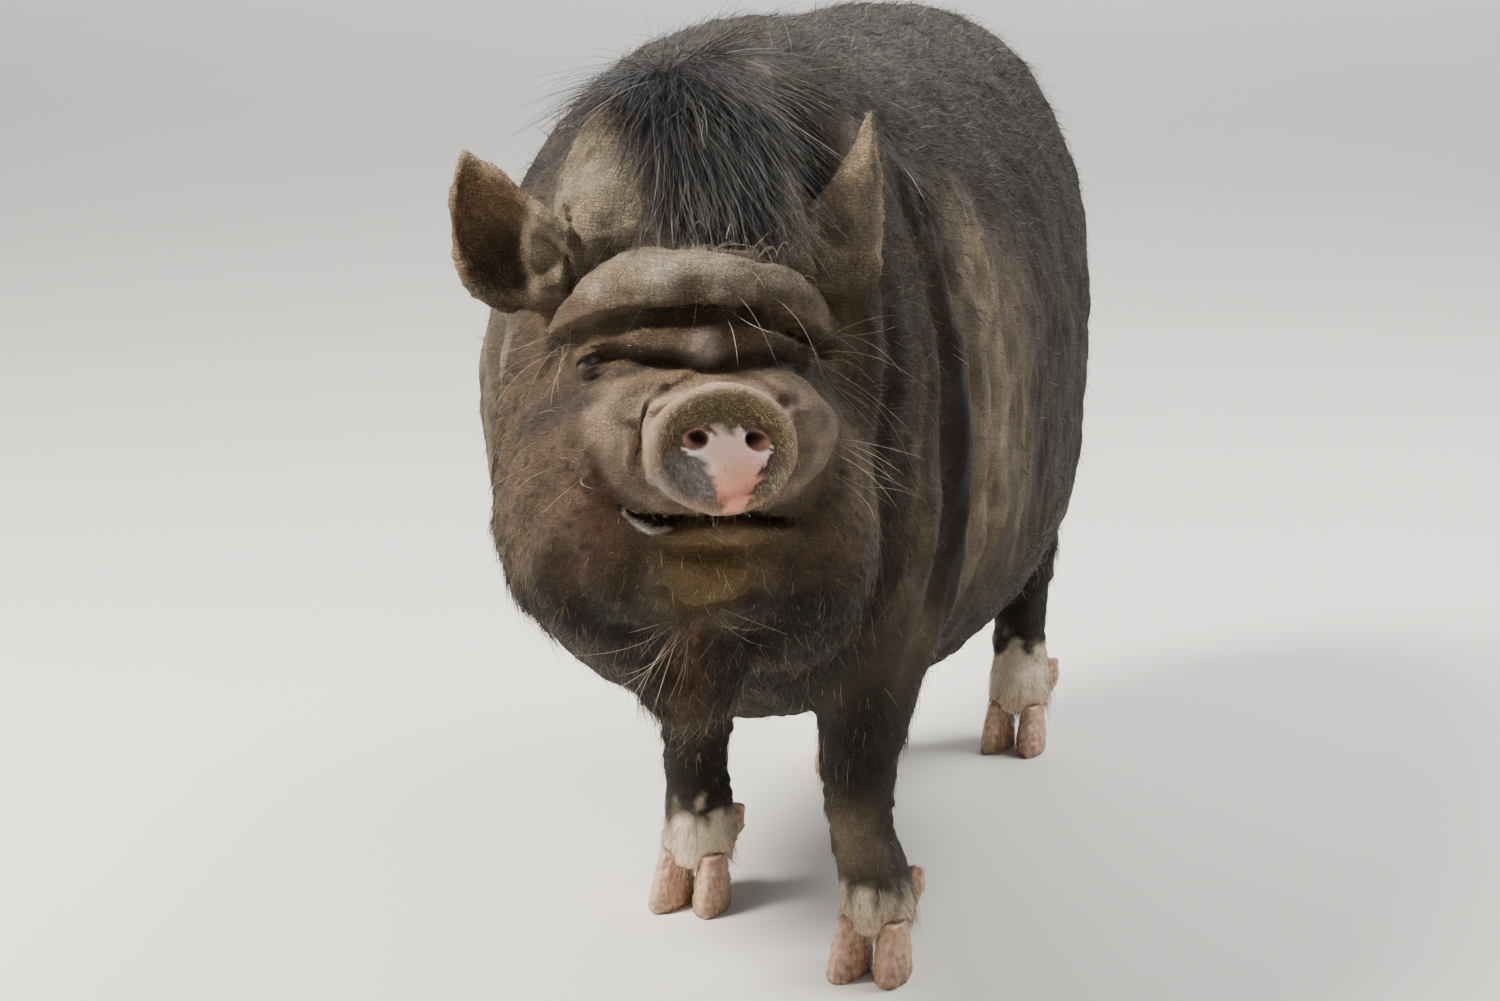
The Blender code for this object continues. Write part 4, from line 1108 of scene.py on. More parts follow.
def map_places(points, charts, turns_at=None):
    """Places in the bake map for points in given charts; turns_at keeps corners on one side of a seam."""
    out = np.zeros((len(points), 2))
    for chart in np.unique(charts):
        chosen = charts == chart
        place = place_in(points[chosen], chart)
        if turns_at is not None and not CHART_NAMES[chart].startswith(("head", "ear")):
            place[:, 0] -= np.round(place[:, 0] - place_in(turns_at[chosen], chart)[:, 0])
        left, bottom, width, height = CHARTS[CHART_NAMES[chart]]
        out[chosen] = np.array((left, bottom)) + place * np.array((width, height))
    return out


def store_map(mesh, places):
    """Give a mesh its bake map, with a place for each corner."""
    mesh.uv_layers.new(name="OFBake").data.foreach_set("uv", places.astype(np.float32).ravel())


def lay_map(mesh):
    """Lay the skin in the charts, face by face."""
    co = points_of(mesh)
    loops = read(mesh.loops, "vertex_index", 1, np.int32)[:, 0]
    totals = read(mesh.polygons, "loop_total", 1, np.int32)[:, 0]
    centres = read(mesh.polygons, "center")
    chart = chart_of(centres, read(mesh.polygons, "normal"))
    store_map(mesh, map_places(co[loops], np.repeat(chart, totals), np.repeat(centres, totals, axis=0)))


# ---------------------------------------------------------------- coat
def root_pool():
    """Everything that the coat needs to know of the skin."""
    mesh = bpy.data.objects["skin"].data
    tint = read(mesh.attributes["tint"].data, "color", 4)[:, :3]
    mesh.calc_loop_triangles()
    tris = read(mesh.loop_triangles, "vertices", 3, np.int32)
    co = points_of(mesh)
    corners = co[tris]
    first, second = corners[:, 1] - corners[:, 0], corners[:, 2] - corners[:, 0]
    areas = 0.5 * np.linalg.norm(np.cross(first, second), axis=1)
    return {"co": co, "normals": normals_of(mesh), "tint": tint, "tris": tris, "areas": areas,
            "centres": corners.mean(axis=1)}


def lie_of_coat(points, normals):
    """The way that the hair lies at points of the skin, along the surface."""
    local = to_head(points)
    x, y, z = local.T
    body = np.zeros_like(points)
    body[:, 1] = 1.0
    body[:, 2] = -0.55 * (1 - np.abs(normals[:, 2]))
    legs = leg_share(points)[:, None]
    body = body * (1 - legs) + legs * np.array((0.0, 0.25, -1.0))
    tail = tail_share(points)[:, None]
    body = body * (1 - tail) + tail * np.array((0.0, 0.1, -1.0))
    out = unit(np.stack([x - 0.004, np.zeros(len(x)), z - 0.005], 1))
    face = out * 0.8 + np.array((0.0, 0.55, -0.35))
    jowl = fall(z, -0.09, 0.0)[:, None]
    face = face * (1 - jowl) + jowl * (out * 0.5 + np.array((0.0, 0.35, -0.75)))
    crown = (ramp(z, 0.108, 0.125) * fall(y, 0.065, 0.095))[:, None]
    forelock = np.stack([(x - 0.018) * 6, np.full(len(x), -0.6), np.full(len(x), -0.9)], 1)
    face = face * (1 - crown) + crown * forelock
    for side, tip in (("left", (0.118, 0.008, 0.188)), ("right", (-0.123, -0.012, 0.174))):
        share = nearness(points, f"ear_{side}", 0.006)[:, None]
        root = np.array((0.08 * SIDES[side], 0.0, 0.09))
        face = face * (1 - share) + share * unit(np.array(tip) - root)
    face = face @ HEAD_AXES.T
    share = np.maximum(head_share(points), crown[:, 0] * (y < 0.1))[:, None]
    way = unit(body) * (1 - share) + unit(face) * share
    way -= normals * np.einsum("ij,ij->i", way, normals)[:, None]
    return unit(way)


# The coat stays in this box round the solids, and a bristle that would leave it isn't grown.
ROOM_EDGE = (np.array(CAD_BOX[1]) - np.array(CAD_BOX[0])) * 0.03 + 0.007
ROOM = (np.array(CAD_BOX[0]) - ROOM_EDGE, np.array(CAD_BOX[1]) + ROOM_EDGE)
# How far inside the skin a bristle starts.
ROOT_DEPTH = 0.0006
# How large a bristle's patch in the bake map is.
BRISTLE_PATCH = 0.003


def pick_roots(pool, weight, count, rng):
    """Places on the skin with their normals and colours, drawn by area and weight."""
    chance = pool["areas"] * weight
    picks = rng.choice(len(chance), size=count, p=chance / chance.sum())
    a, b = rng.random((2, count))
    swap = a + b > 1
    a[swap], b[swap] = 1 - a[swap], 1 - b[swap]
    shares = np.stack([1 - a - b, a, b], 1)[:, :, None]
    tris = pool["tris"][picks]
    roots, normals, tint = ((pool[key][tris] * shares).sum(axis=1) for key in ("co", "normals", "tint"))
    return roots, unit(normals), tint


def draw_looks(roots, normals, tint, rng, length, width, lift, droop, spread, rings, root, tip, vary=0.3,
               pale=0.0, pale_tip=None, size=None, skin_share=0.45, heading=None):
    """How each bristle of one region looks.

    lift, in radians, raises them off the skin; droop and spread bend them down and apart; rings is how many
    rings each has; pale is the share of them that end in the pale tip; size gives their length by place;
    skin_share is how much of the skin's own colour they take up; heading is a way in the head's frame.
    """
    count = len(roots)
    scale = np.clip(np.exp(rng.normal(0, vary, count)), 0.35, 1.9)
    if size is not None:
        scale *= size(roots)
    shade = np.clip(rng.normal(1.0, 0.22, count), 0.5, 1.6)[:, None]
    base = (tint * 0.6 * skin_share + np.array(root) * (1 - skin_share)) * shade
    end = (tint * skin_share + np.array(tip) * (1 - skin_share)) * shade
    light = rng.random(count) < pale
    if pale_tip is not None:
        end[light] = np.array(pale_tip) * shade[light]
        base[light] = base[light] * 0.5 + end[light] * 0.3
    look = {"length": length * scale, "width": width * rng.uniform(0.75, 1.25, count),
            "lift": np.clip(rng.normal(lift, 0.13, count), 0.03, 1.5), "droop": droop, "spread": spread,
            "rings": rings, "root": np.clip(base, 0.001, 1), "tip": np.clip(end, 0.001, 1)}
    if heading is None:
        look["way"] = lie_of_coat(roots, normals)
    else:
        way = HEAD_AXES @ np.array(heading)
        way = way - normals * (normals @ way)[:, None] * 0.75
        look["way"] = unit(way + 0.22 * rng.normal(size=roots.shape))
    return look


def middle_lines(roots, normals, look, rng):
    """The way that each bristle starts, and its bent middle line from root to tip."""
    count = len(roots)
    way = look["way"]
    across = np.cross(way, normals)
    swing = look["spread"] * rng.normal(size=count)
    way = unit(way * np.cos(swing)[:, None] + across * np.sin(swing)[:, None])
    start = unit(way * np.cos(look["lift"])[:, None] + normals * np.sin(look["lift"])[:, None])
    side = rng.normal(size=count) * 0.12
    bend = (way - start) * 0.55 + across * side[:, None]
    lines = []
    for t in np.linspace(0.0, 1.0, look["rings"] + 1):
        at = roots - normals * ROOT_DEPTH + look["length"][:, None] * (start * t + bend * t * t)
        at[:, 2] -= look["length"] * look["droop"] * t * t
        lines.append(at)
    return start, np.stack(lines, 1)


def taper(lines, start, width, rng):
    """The corners of a three-sided tapering bristle round each middle line, with its tip last."""
    u = unit(np.cross(start, unit(rng.normal(size=start.shape))))
    v = np.cross(start, u)
    rings = lines.shape[1] - 1
    corners = []
    for ring in range(rings):
        radius = width / 2 * (1 - np.linspace(0.0, 1.0, rings + 1)[ring]) ** 0.6
        for corner in range(3):
            turn = corner * 2 * math.pi / 3
            corners.append(lines[:, ring] + (u * math.cos(turn) + v * math.sin(turn)) * radius[:, None])
    return np.stack([*corners, lines[:, rings]], 1)


def bristle_faces(rings):
    """One bristle's faces: its closed root, its three sides and its pointed tip."""
    faces = [(0, 2, 1)]
    for ring in range(rings - 1):
        for corner in range(3):
            a, b = 3 * ring + corner, 3 * ring + (corner + 1) % 3
            faces += [(a, b, b + 3), (a, b + 3, a + 3)]
    last = 3 * (rings - 1)
    faces += [(last + corner, last + (corner + 1) % 3, last + 3) for corner in range(3)]
    return np.array(faces)


def bristle_mesh(name, verts, faces):
    """One mesh of many bristles; verts has a row of corners for each."""
    count, per = verts.shape[:2]
    index = (np.arange(count)[:, None, None] * per + faces).astype(np.int32).ravel()
    mesh = bpy.data.meshes.new(name)
    mesh.vertices.add(count * per)
    mesh.vertices.foreach_set("co", verts.astype(np.float32).ravel())
    mesh.loops.add(index.size)
    mesh.loops.foreach_set("vertex_index", index)
    mesh.polygons.add(index.size // 3)
    mesh.polygons.foreach_set("loop_start", np.arange(0, index.size, 3, dtype=np.int32))
    mesh.update(calc_edges=True)
    return mesh, index


def grow(pool, name, weight, count, seed, looks):
    """One coat piece: bristles rooted over the skin where weight is above nothing."""
    rng = np.random.default_rng(seed)
    roots, normals, tint = pick_roots(pool, weight, count, rng)
    look = draw_looks(roots, normals, tint, rng, **looks)
    start, lines = middle_lines(roots, normals, look, rng)
    kept = ((lines > ROOM[0]) & (lines < ROOM[1])).all(axis=(1, 2))
    look = {key: value[kept] if isinstance(value, np.ndarray) else value for key, value in look.items()}
    verts = taper(lines[kept], start[kept], look["width"], rng)
    rings = look["rings"]
    mesh, index = bristle_mesh(name, verts, bristle_faces(rings))
    place = np.append(np.repeat(np.linspace(0.0, 1.0, rings + 1)[:-1], 3), 1.0)[None, :, None]
    shade = look["root"][:, None, :] * (1 - place) + look["tip"][:, None, :] * place
    store(mesh, "tint", shade.reshape(-1, 3))
    roots, normals = roots[kept], normals[kept]
    across = np.append(np.tile((-0.5, 0.0, 0.5), rings), 0.0)
    up = np.append(np.repeat(np.arange(rings), 3), rings) / rings - 0.5
    patch = np.stack([across, up], 1) * BRISTLE_PATCH
    places = map_places(roots, chart_of(roots, normals))[:, None, :] + patch
    store_map(mesh, places.reshape(-1, 2)[index])
    shade_smooth(mesh)
    return new_object(name, mesh)


def bare_share(points):
    """1 where the skin has no long hair: disk, mound, brow, eyes and mouth, and nearly 1 on the chin."""
    local = to_head(points)
    x, y, z = local.T
    mound = (mound_reach(local) < 0.97) * (y < -0.045)
    brow = ramp(z, 0.062, 0.072) * fall(y, 0.0, 0.02) * head_share(points)
    eyes = [np.linalg.norm(local - eye_axes(side)[0], axis=1) < 0.0165 for side in SIDES]
    near, gap, _ = along(local, metres(FACE_LINES["mouth"][0]), 0.02)
    lips = np.zeros(len(points))
    lips[near] = gap < 0.012
    chin = bell(x - 0.002, 0.03) * ramp(-y, 0.045, 0.06) * ramp(z, -0.105, -0.095) * fall(z, -0.04, -0.03)
    chin = np.clip(1.6 * chin, 0, 0.97)
    return np.clip(np.maximum.reduce([on_disk(local, 0.1, 0.106), mound, brow, *eyes, lips, chin]), 0, 1)


def mane_roots(points):
    """The crown, between the ears."""
    x, y, z = to_head(points).T
    across = ramp(x, -0.02, -0.004) * fall(x, 0.04, 0.056)
    return across * ramp(z, 0.126, 0.15) * fall(y, 0.06, 0.09) * (0.35 + ramp(z, 0.15, 0.19))


def cheek_roots(points, side):
    """One side of the head, where it is not bare."""
    x, y, z = to_head(points).T
    split = (x - 0.004) * SIDES[side] > 0
    haired = head_share(points) * (1 - bare_share(points)) * (1 - 0.8 * ramp(z, 0.11, 0.13))
    return split * haired * (0.45 + 0.55 * ramp(y, -0.06, 0.0))


def cheek_size(points):
    """Longer hair under the jaw and behind the face."""
    local = to_head(points)
    return 0.42 + 0.5 * ramp(-local[:, 2], 0.02, 0.11) + 0.4 * ramp(local[:, 1], -0.05, 0.05)


def fuzz_roots(points):
    """The whole face, thicker on the chin and along the folds over the nose."""
    local = to_head(points)
    x, y, z = local.T
    chin = 2.0 * bell(z + 0.06, 0.03) * bell(x, 0.04)
    top = 3.0 * bell(z - 0.04, 0.007) * (y < -0.06) * (np.abs(x - 0.004) < 0.06)
    fold = 2.0 * bell(z - 0.062, 0.01) * (y < -0.02)
    face = head_share(points) * (y < 0.03) * (1 - on_disk(local, 0.1, 0.106))
    return face * (0.35 + chin + top + fold)


def snout_roots(points):
    """The disk's upper and left part, clear of the bare patch and the nostrils."""
    local = to_head(points)
    x, _, z = local.T
    reach = disk_reach(x, z)
    right = np.interp(z, PATCH_Z, PATCH_RIGHT)
    left = np.interp(z, PATCH_Z, PATCH_LEFT)
    patch = (x > right - 0.001) & (x < left + 0.001) & (z < 0.0105)
    holes = (np.abs(np.abs(x - 0.001) - 0.0175) < 0.011) & (np.abs(z - 0.0055) < 0.008)
    place = ramp(z, -0.004, 0.01) + 0.8 * (x > 0.0) * (reach > 0.5) + 0.25
    return on_disk(local, 0.106, 0.112, 0.06) * (reach < 0.93) * ~patch * ~holes * place


def trunk_roots(points, start, end, side):
    """The trunk from start to end along the pig, on one side of its middle or on both, thicker on top."""
    x, y, z = points.T
    where = (y >= start) & (y < end)
    if side:
        where &= (x > 0.02) == (side > 0)
    return where * trunk_share(points) * (0.5 + 1.3 * ramp(z, 0.34, 0.54))


def add_coat(name, weight, count, seed, material, slot, **looks):
    """Grow one coat piece on the finished skin, where weight says so."""
    pool = root_pool()
    count = max(int(count * bpy.context.scene.pig_coat.share), 3)
    piece = grow(pool, name, np.clip(weight(pool["centres"]), 0, None), count, seed, looks)
    piece.data.materials.append(material)
    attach(piece, "root")


# ---------------------------------------------------------------- materials
class Net:
    """A material's node tree, built with short calls."""

    def __init__(self, name):
        self.material = bpy.data.materials.new(name)
        self.material.use_nodes = True
        self.tree = self.material.node_tree
        self.tree.nodes.clear()
        self.out = self.tree.nodes.new("ShaderNodeOutputMaterial")
        self.shader = self.tree.nodes.new("ShaderNodeBsdfPrincipled")
        self.tree.links.new(self.shader.outputs[0], self.out.inputs["Surface"])

    def add(self, kind, sockets=None, **settings):
        node = self.tree.nodes.new("ShaderNode" + kind)
        for key, value in settings.items():
            setattr(node, key, value)
        self.fill(node, sockets or {})
        return node

    def fill(self, node, sockets):
        for key, value in sockets.items():
            if isinstance(value, bpy.types.NodeSocket):
                self.tree.links.new(value, node.inputs[key])
            else:
                node.inputs[key].default_value = value

    def shade(self, **sockets):
        self.fill(self.shader, {key.replace("_", " "): value for key, value in sockets.items()})

    def place(self, scale=(1, 1, 1), turn=(0, 0, 0)):
        """Object coordinates, stretched and turned."""
        spot = self.add("TexCoord").outputs["Object"]
        return self.add("Mapping", {"Vector": spot, "Scale": scale, "Rotation": turn}).outputs["Vector"]

    def noise(self, where, scale, detail=3.0, rough=0.55):
        return self.add("TexNoise", {"Vector": where, "Scale": scale, "Detail": detail,
                                     "Roughness": rough}).outputs["Fac"]

    def span(self, value, low, high, start=0.0, end=1.0):
        """A value carried from one range to another and held at its ends."""
        return self.add("MapRange", {"Value": value, "From Min": low, "From Max": high, "To Min": start,
                                     "To Max": end}).outputs["Result"]

    def cells(self, where, scale):
        """How far a point lies from the edge of its cell, in a field of uneven cells."""
        return self.add("TexVoronoi", {"Vector": where, "Scale": scale},
                        feature="DISTANCE_TO_EDGE").outputs["Distance"]

    def waves(self, where, scale, distortion, detail, detail_scale, way):
        """Wavering lines, one after another along an axis."""
        sockets = {"Vector": where, "Scale": scale, "Distortion": distortion, "Detail": detail,
                   "Detail Scale": detail_scale}
        return self.add("TexWave", sockets, bands_direction=way).outputs["Fac"]

    def sum(self, kind, a, b):
        return self.add("Math", {0: a, 1: b}, operation=kind).outputs[0]

    def times(self, a, b):
        return self.sum("MULTIPLY", a, b)

    def rest(self, value):
        return self.sum("SUBTRACT", 1.0, value)

    def blend(self, kind, share, a, b):
        return self.add("Mix", {0: share, 6: a, 7: b}, data_type="RGBA", blend_type=kind).outputs[2]

    def attribute(self, name):
        return self.add("Attribute", attribute_name=name).outputs["Color"]

    def toned(self, share):
        """The mesh's own colours, made lighter or darker by a share."""
        tone = self.add("CombineColor", {0: share, 1: share, 2: share}).outputs[0]
        return self.blend("MULTIPLY", 1.0, self.attribute("tint"), tone)

    def bump(self, height, distance, strength=1.0, below=None):
        sockets = {"Height": height, "Distance": distance, "Strength": strength}
        if below is not None:
            sockets["Normal"] = below
        return self.add("Bump", sockets).outputs["Normal"]


def skin_material():
    """Dry wrinkled skin: two sizes of cells crossed by fine lines, darkened in colour as painted shade in the
    cracks, with a wet patch where relief says so.
    """
    net = Net("pig_skin")
    where = net.place()
    relief = net.add("SeparateColor", {"Color": net.attribute("relief")})
    wrinkled, wet = relief.outputs[0], relief.outputs[1]
    sway = net.add("TexNoise", {"Vector": where, "Scale": 90.0, "Detail": 2.0}).outputs["Color"]
    shift = net.add("VectorMath", {0: sway, "Scale": 0.006}, operation="SCALE").outputs[0]
    bent = net.add("VectorMath", {0: net.place((1, 1, 1.5)), 1: shift}, operation="ADD").outputs[0]
    large = net.cells(bent, 380.0)
    small = net.cells(bent, 950.0)
    turned = net.place((1, 1, 1), (HEAD_PITCH, 0.0, -HEAD_YAW))
    level = net.waves(turned, 120.0, 9.0, 3.0, 0.7, "Z")
    upright = net.waves(turned, 70.0, 11.0, 3.0, 0.8, "X")
    hatch = net.times(net.span(level, 0.0, 0.22, 0.35, 1.0), net.span(upright, 0.0, 0.16, 0.5, 1.0))
    cracks = net.times(net.span(large, 0.0, 0.16, 0.15, 1.0), net.span(small, 0.0, 0.2, 0.35, 1.0))
    relieved = net.times(net.times(cracks, hatch), wrinkled)
    relieved = net.sum("ADD", relieved, net.rest(wrinkled))
    grain = net.noise(where, 1500.0, 4.0, 0.7)
    height = net.sum("ADD", relieved, net.times(grain, 0.35))
    blotch = net.span(net.noise(where, 55.0, 5.0, 0.62), 0.3, 0.7, 0.72, 1.24)
    mottle = net.span(net.noise(where, 420.0, 4.0, 0.65), 0.3, 0.7, 0.8, 1.18)
    # Painted shade: the colour darkens in the wrinkles' cracks and lines.
    lines = net.span(relieved, 0.0, 0.7, 0.22, 1.16)
    shade = net.times(net.times(blotch, mottle), lines)
    base = net.toned(net.sum("ADD", net.times(shade, net.rest(net.times(wet, 0.8))), net.times(wet, 0.8)))
    dust = net.span(net.noise(where, 900.0, 2.0, 0.5), 0.6, 0.72, 0.0, 0.3)
    dust = net.times(dust, net.span(wrinkled, 0.65, 1.0, 0.15, 1.0))
    dust = net.times(dust, net.rest(wet))
    base = net.blend("MIX", dust, base, (*linear(176, 158, 134), 1.0))
    fine = net.bump(height, 0.0022, 1.0)
    soft = net.bump(net.noise(where, 130.0, 3.0, 0.6), 0.002, 0.5, fine)
    rough = net.sum("SUBTRACT", net.span(grain, 0.3, 0.7, 0.6, 0.8), net.times(wet, 0.34))
    net.shade(Base_Color=base, Roughness=rough, Normal=soft, Specular_IOR_Level=0.3)
    return net.material


def coat_material(name, gloss):
    """Bristles: their own colours with a fine streak, and a soft gloss."""
    net = Net(name)
    streak = net.span(net.noise(net.place(), 700.0, 2.0, 0.5), 0.3, 0.7, 0.75, 1.25)
    net.shade(Base_Color=net.toned(streak), Roughness=gloss, Specular_IOR_Level=0.38)
    return net.material


def horn_material():
    """Horn streaked from top to bottom, with faint growth rings and soil by the ground."""
    colours = bpy.context.scene.pig_colours
    net = Net("claw_horn")
    where = net.place()
    streaks = net.noise(net.place((1.0, 1.0, 0.1)), 420.0, 4.0, 0.6)
    rings = net.waves(where, 62.0, 3.0, 2.0, 0.6, "Z")
    base = net.blend("MIX", net.span(streaks, 0.35, 0.72), (*colours.horn, 1.0), (*linear(162, 124, 98), 1.0))
    base = net.blend("MULTIPLY", net.span(rings, 0.0, 1.0, 0.0, 0.15), base, (*linear(190, 160, 130), 1.0))
    rise = net.add("SeparateXYZ", {0: where}).outputs["Z"]
    soil = net.times(net.span(rise, 0.016, 0.001), net.span(net.noise(where, 260.0), 0.35, 0.6))
    base = net.blend("MIX", net.times(soil, 0.75), base, (*linear(92, 66, 48), 1.0))
    height = net.sum("ADD", net.times(rings, 0.2), streaks)
    net.shade(Base_Color=base, Roughness=net.span(streaks, 0.3, 0.7, 0.36, 0.58),
              Normal=net.bump(height, 0.0004, 0.5))
    return net.material


def eye_material():
    """A dark eye with a streaked ring and a thin wet coat."""
    net = Net("pig_eye")
    streak = net.span(net.noise(net.place(), 900.0, 3.0, 0.6), 0.3, 0.7, 0.75, 1.2)
    net.shade(Base_Color=net.toned(streak), Roughness=0.45, Coat_Weight=0.15, Coat_Roughness=0.2)
    return net.material


def floor_material():
    """A plain pale floor with the faintest clouding."""
    colours = bpy.context.scene.pig_colours
    net = Net("plain_floor")
    cloud = net.span(net.noise(net.place(), 3.0, 4.0, 0.5), 0.3, 0.7, 0.0, 0.35)
    base = net.blend("MULTIPLY", cloud, (*colours.floor, 1.0), (0.94, 0.94, 0.94, 1.0))
    net.shade(Base_Color=base, Roughness=0.8)
    return net.material


# ---------------------------------------------------------------- eyes and claws
# The grid that a claw is fused on, and how far apart its growth rings are.
CLAW_CELL = 0.0011
CLAW_RING = 0.0042


def make_eye(side):
    """A glossy eyeball with a dark pupil and a brown ring, looking out of the slit."""
    colours = bpy.context.scene.pig_colours
    _, out, up, slope = eye_axes(side)
    low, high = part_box(f"eye_{side}")
    radius = (high.z - low.z) / 2 - 0.0006
    bm = bmesh.new()
    bmesh.ops.create_icosphere(bm, subdivisions=5, radius=radius)
    mesh = to_mesh(bm, f"eyeball_{side}")
    co = points_of(mesh)
    aim = HEAD_AXES @ unit(out + 0.1 * slope - 0.05 * up)
    angle = np.arccos(np.clip(unit(co) @ aim, -1, 1))
    co += unit(co) * (0.0007 * bell(angle, 0.42))[:, None]
    put_points(mesh, co + np.array(middle(f"eye_{side}")) - HEAD_AXES @ out * 0.0012)
    tint = np.broadcast_to(np.array(TONES["eyeball"]), co.shape).copy()
    mix(tint, colours.iris, fall(angle, 0.62, 0.7))
    mix(tint, TONES["iris edge"], bell(angle - 0.6, 0.05))
    mix(tint, TONES["pupil"], fall(angle, 0.26, 0.31))
    store(mesh, "tint", tint)
    shade_smooth(mesh)
    return new_object(f"eyeball_{side}", mesh)


def make_hoof(node):
    """A rounded claw grown from its CAD node, with faint growth rings."""
    mesh = to_mesh(merged_copy(node), node.replace("claw", "hoof"))
    hoof = new_object("hoof_" + node.replace("dewclaw", "dew").replace("claw_", ""), mesh)
    fuse(hoof, CLAW_CELL)
    ease(hoof, 9, np.ones(len(hoof.data.vertices)))
    co = points_of(hoof.data)
    rings = np.sin(co[:, 2] * 2 * math.pi / CLAW_RING + 0.8 * waves(co, 0.015, 41))
    co += normals_of(hoof.data) * (0.00018 * rings + 0.00025 * waves(co, 0.007, 42))[:, None]
    co[:, 2] = np.maximum(co[:, 2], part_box(node)[0].z)
    put_points(hoof.data, co)
    shade_smooth(hoof.data)
    return hoof


# ---------------------------------------------------------------- operators
class PIG_OT_skin(bpy.types.Operator):
    """Make the one skin that stands for all the flesh"""
    bl_idname = "pig.skin"
    bl_label = "Skin"

    def execute(self, context):
        settings = context.scene.pig_skin
        skin = rough_skin(settings)
        shape_face(skin, settings.fold_depth)
        thin_skin(skin, settings)
        finish_skin(skin, context.scene.pig_colours)
        skin.data.materials.append(skin_material())
        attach(skin, "root")
        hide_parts(*FLESH)
        return {"FINISHED"}


class PIG_OT_eyes(bpy.types.Operator):
    """Make both eyeballs"""
    bl_idname = "pig.eyes"
    bl_label = "Eyes"

    def execute(self, context):
        material = eye_material()
        for side in SIDES:
            eye = make_eye(side)
            eye.data.materials.append(material)
            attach(eye, "root")
            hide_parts(f"eye_{side}")
        return {"FINISHED"}


class PIG_OT_hooves(bpy.types.Operator):
    """Make the claws and dewclaws of all four feet"""
    bl_idname = "pig.hooves"
    bl_label = "Hooves"

    def execute(self, context):
        material = horn_material()
        for node in sorted(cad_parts):
            if "claw_" in node:
                hoof = make_hoof(node)
                hoof.data.materials.append(material)
                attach(hoof, "root")
                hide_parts(node)
        return {"FINISHED"}


class PIG_OT_mane(bpy.types.Operator):
    """Grow the black hair of the crown, falling over the forehead"""
    bl_idname = "pig.mane"
    bl_label = "Mane"

    def execute(self, context):
        coat, colours = context.scene.pig_coat, context.scene.pig_colours
        add_coat("mane", mane_roots, 6600, 101, coat_material("mane_hair", 0.38), "hide",
                 length=coat.mane, width=0.00046, lift=0.3, droop=0.1, spread=0.25, rings=5,
                 root=colours.hair_dark, tip=linear(46, 44, 47), vary=0.34,
                 pale=0.04, pale_tip=linear(150, 142, 132), skin_share=0.05)
        return {"FINISHED"}


class PIG_OT_face_coat(bpy.types.Operator):
    """Grow the cheek hair, the short fuzz of the face, the ears' fringe and the snout's bristles"""
    bl_idname = "pig.face_coat"
    bl_label = "Face coat"

    def execute(self, context):
        coat, colours = context.scene.pig_coat, context.scene.pig_colours
        material = coat_material("face_hair", 0.46)
        for seed, side in ((111, "left"), (112, "right")):
            add_coat(f"cheek_hair_{side}", lambda points, side=side: cheek_roots(points, side), 5600, seed,
                     material, "face_hide", length=coat.face, width=0.0004, lift=0.26, droop=0.1, spread=0.42,
                     rings=3, root=linear(18, 14, 12), tip=linear(38, 31, 25), vary=0.38,
                     pale=0.15, pale_tip=linear(150, 122, 84), size=cheek_size, skin_share=0.06)
        add_coat("face_fuzz", fuzz_roots, 12000, 113, material, "face_hide",
                 length=0.0038, width=0.00024, lift=0.5, droop=0.05, spread=0.5, rings=2,
                 root=linear(60, 46, 30), tip=linear(160, 128, 78), vary=0.35,
                 pale=0.08, pale_tip=colours.hair_pale, skin_share=0.35)
        add_coat("ear_fringe", lambda points: ramp(near_ears(points, 0.006), 0.2, 0.7), 2600, 114, material,
                 "ear_hide", length=0.005, width=0.00024, lift=0.35, droop=0.05, spread=0.4, rings=2,
                 root=linear(70, 52, 38), tip=linear(150, 124, 94), vary=0.35,
                 pale=0.08, pale_tip=colours.hair_pale)
        add_coat("snout_bristles", snout_roots, 2600, 115, material, "snout_skin",
                 length=0.003, width=0.00036, lift=0.95, droop=0.25, spread=0.5, rings=2,
                 root=linear(60, 44, 28), tip=linear(176, 140, 80),
                 pale=0.4, pale_tip=linear(236, 218, 176), skin_share=0.15)
        return {"FINISHED"}


# The trunk's coat pieces: name, count, seed, where each starts and ends along the pig, and its side.
TRUNK_COATS = (
    ("neck_hair", 7600, 121, -9.0, -0.07, 0),
    ("flank_hair_left", 6500, 122, -0.07, 0.22, 1),
    ("flank_hair_right", 6500, 123, -0.07, 0.22, -1),
    ("rump_hair", 6500, 124, 0.22, 9.0, 0),
)


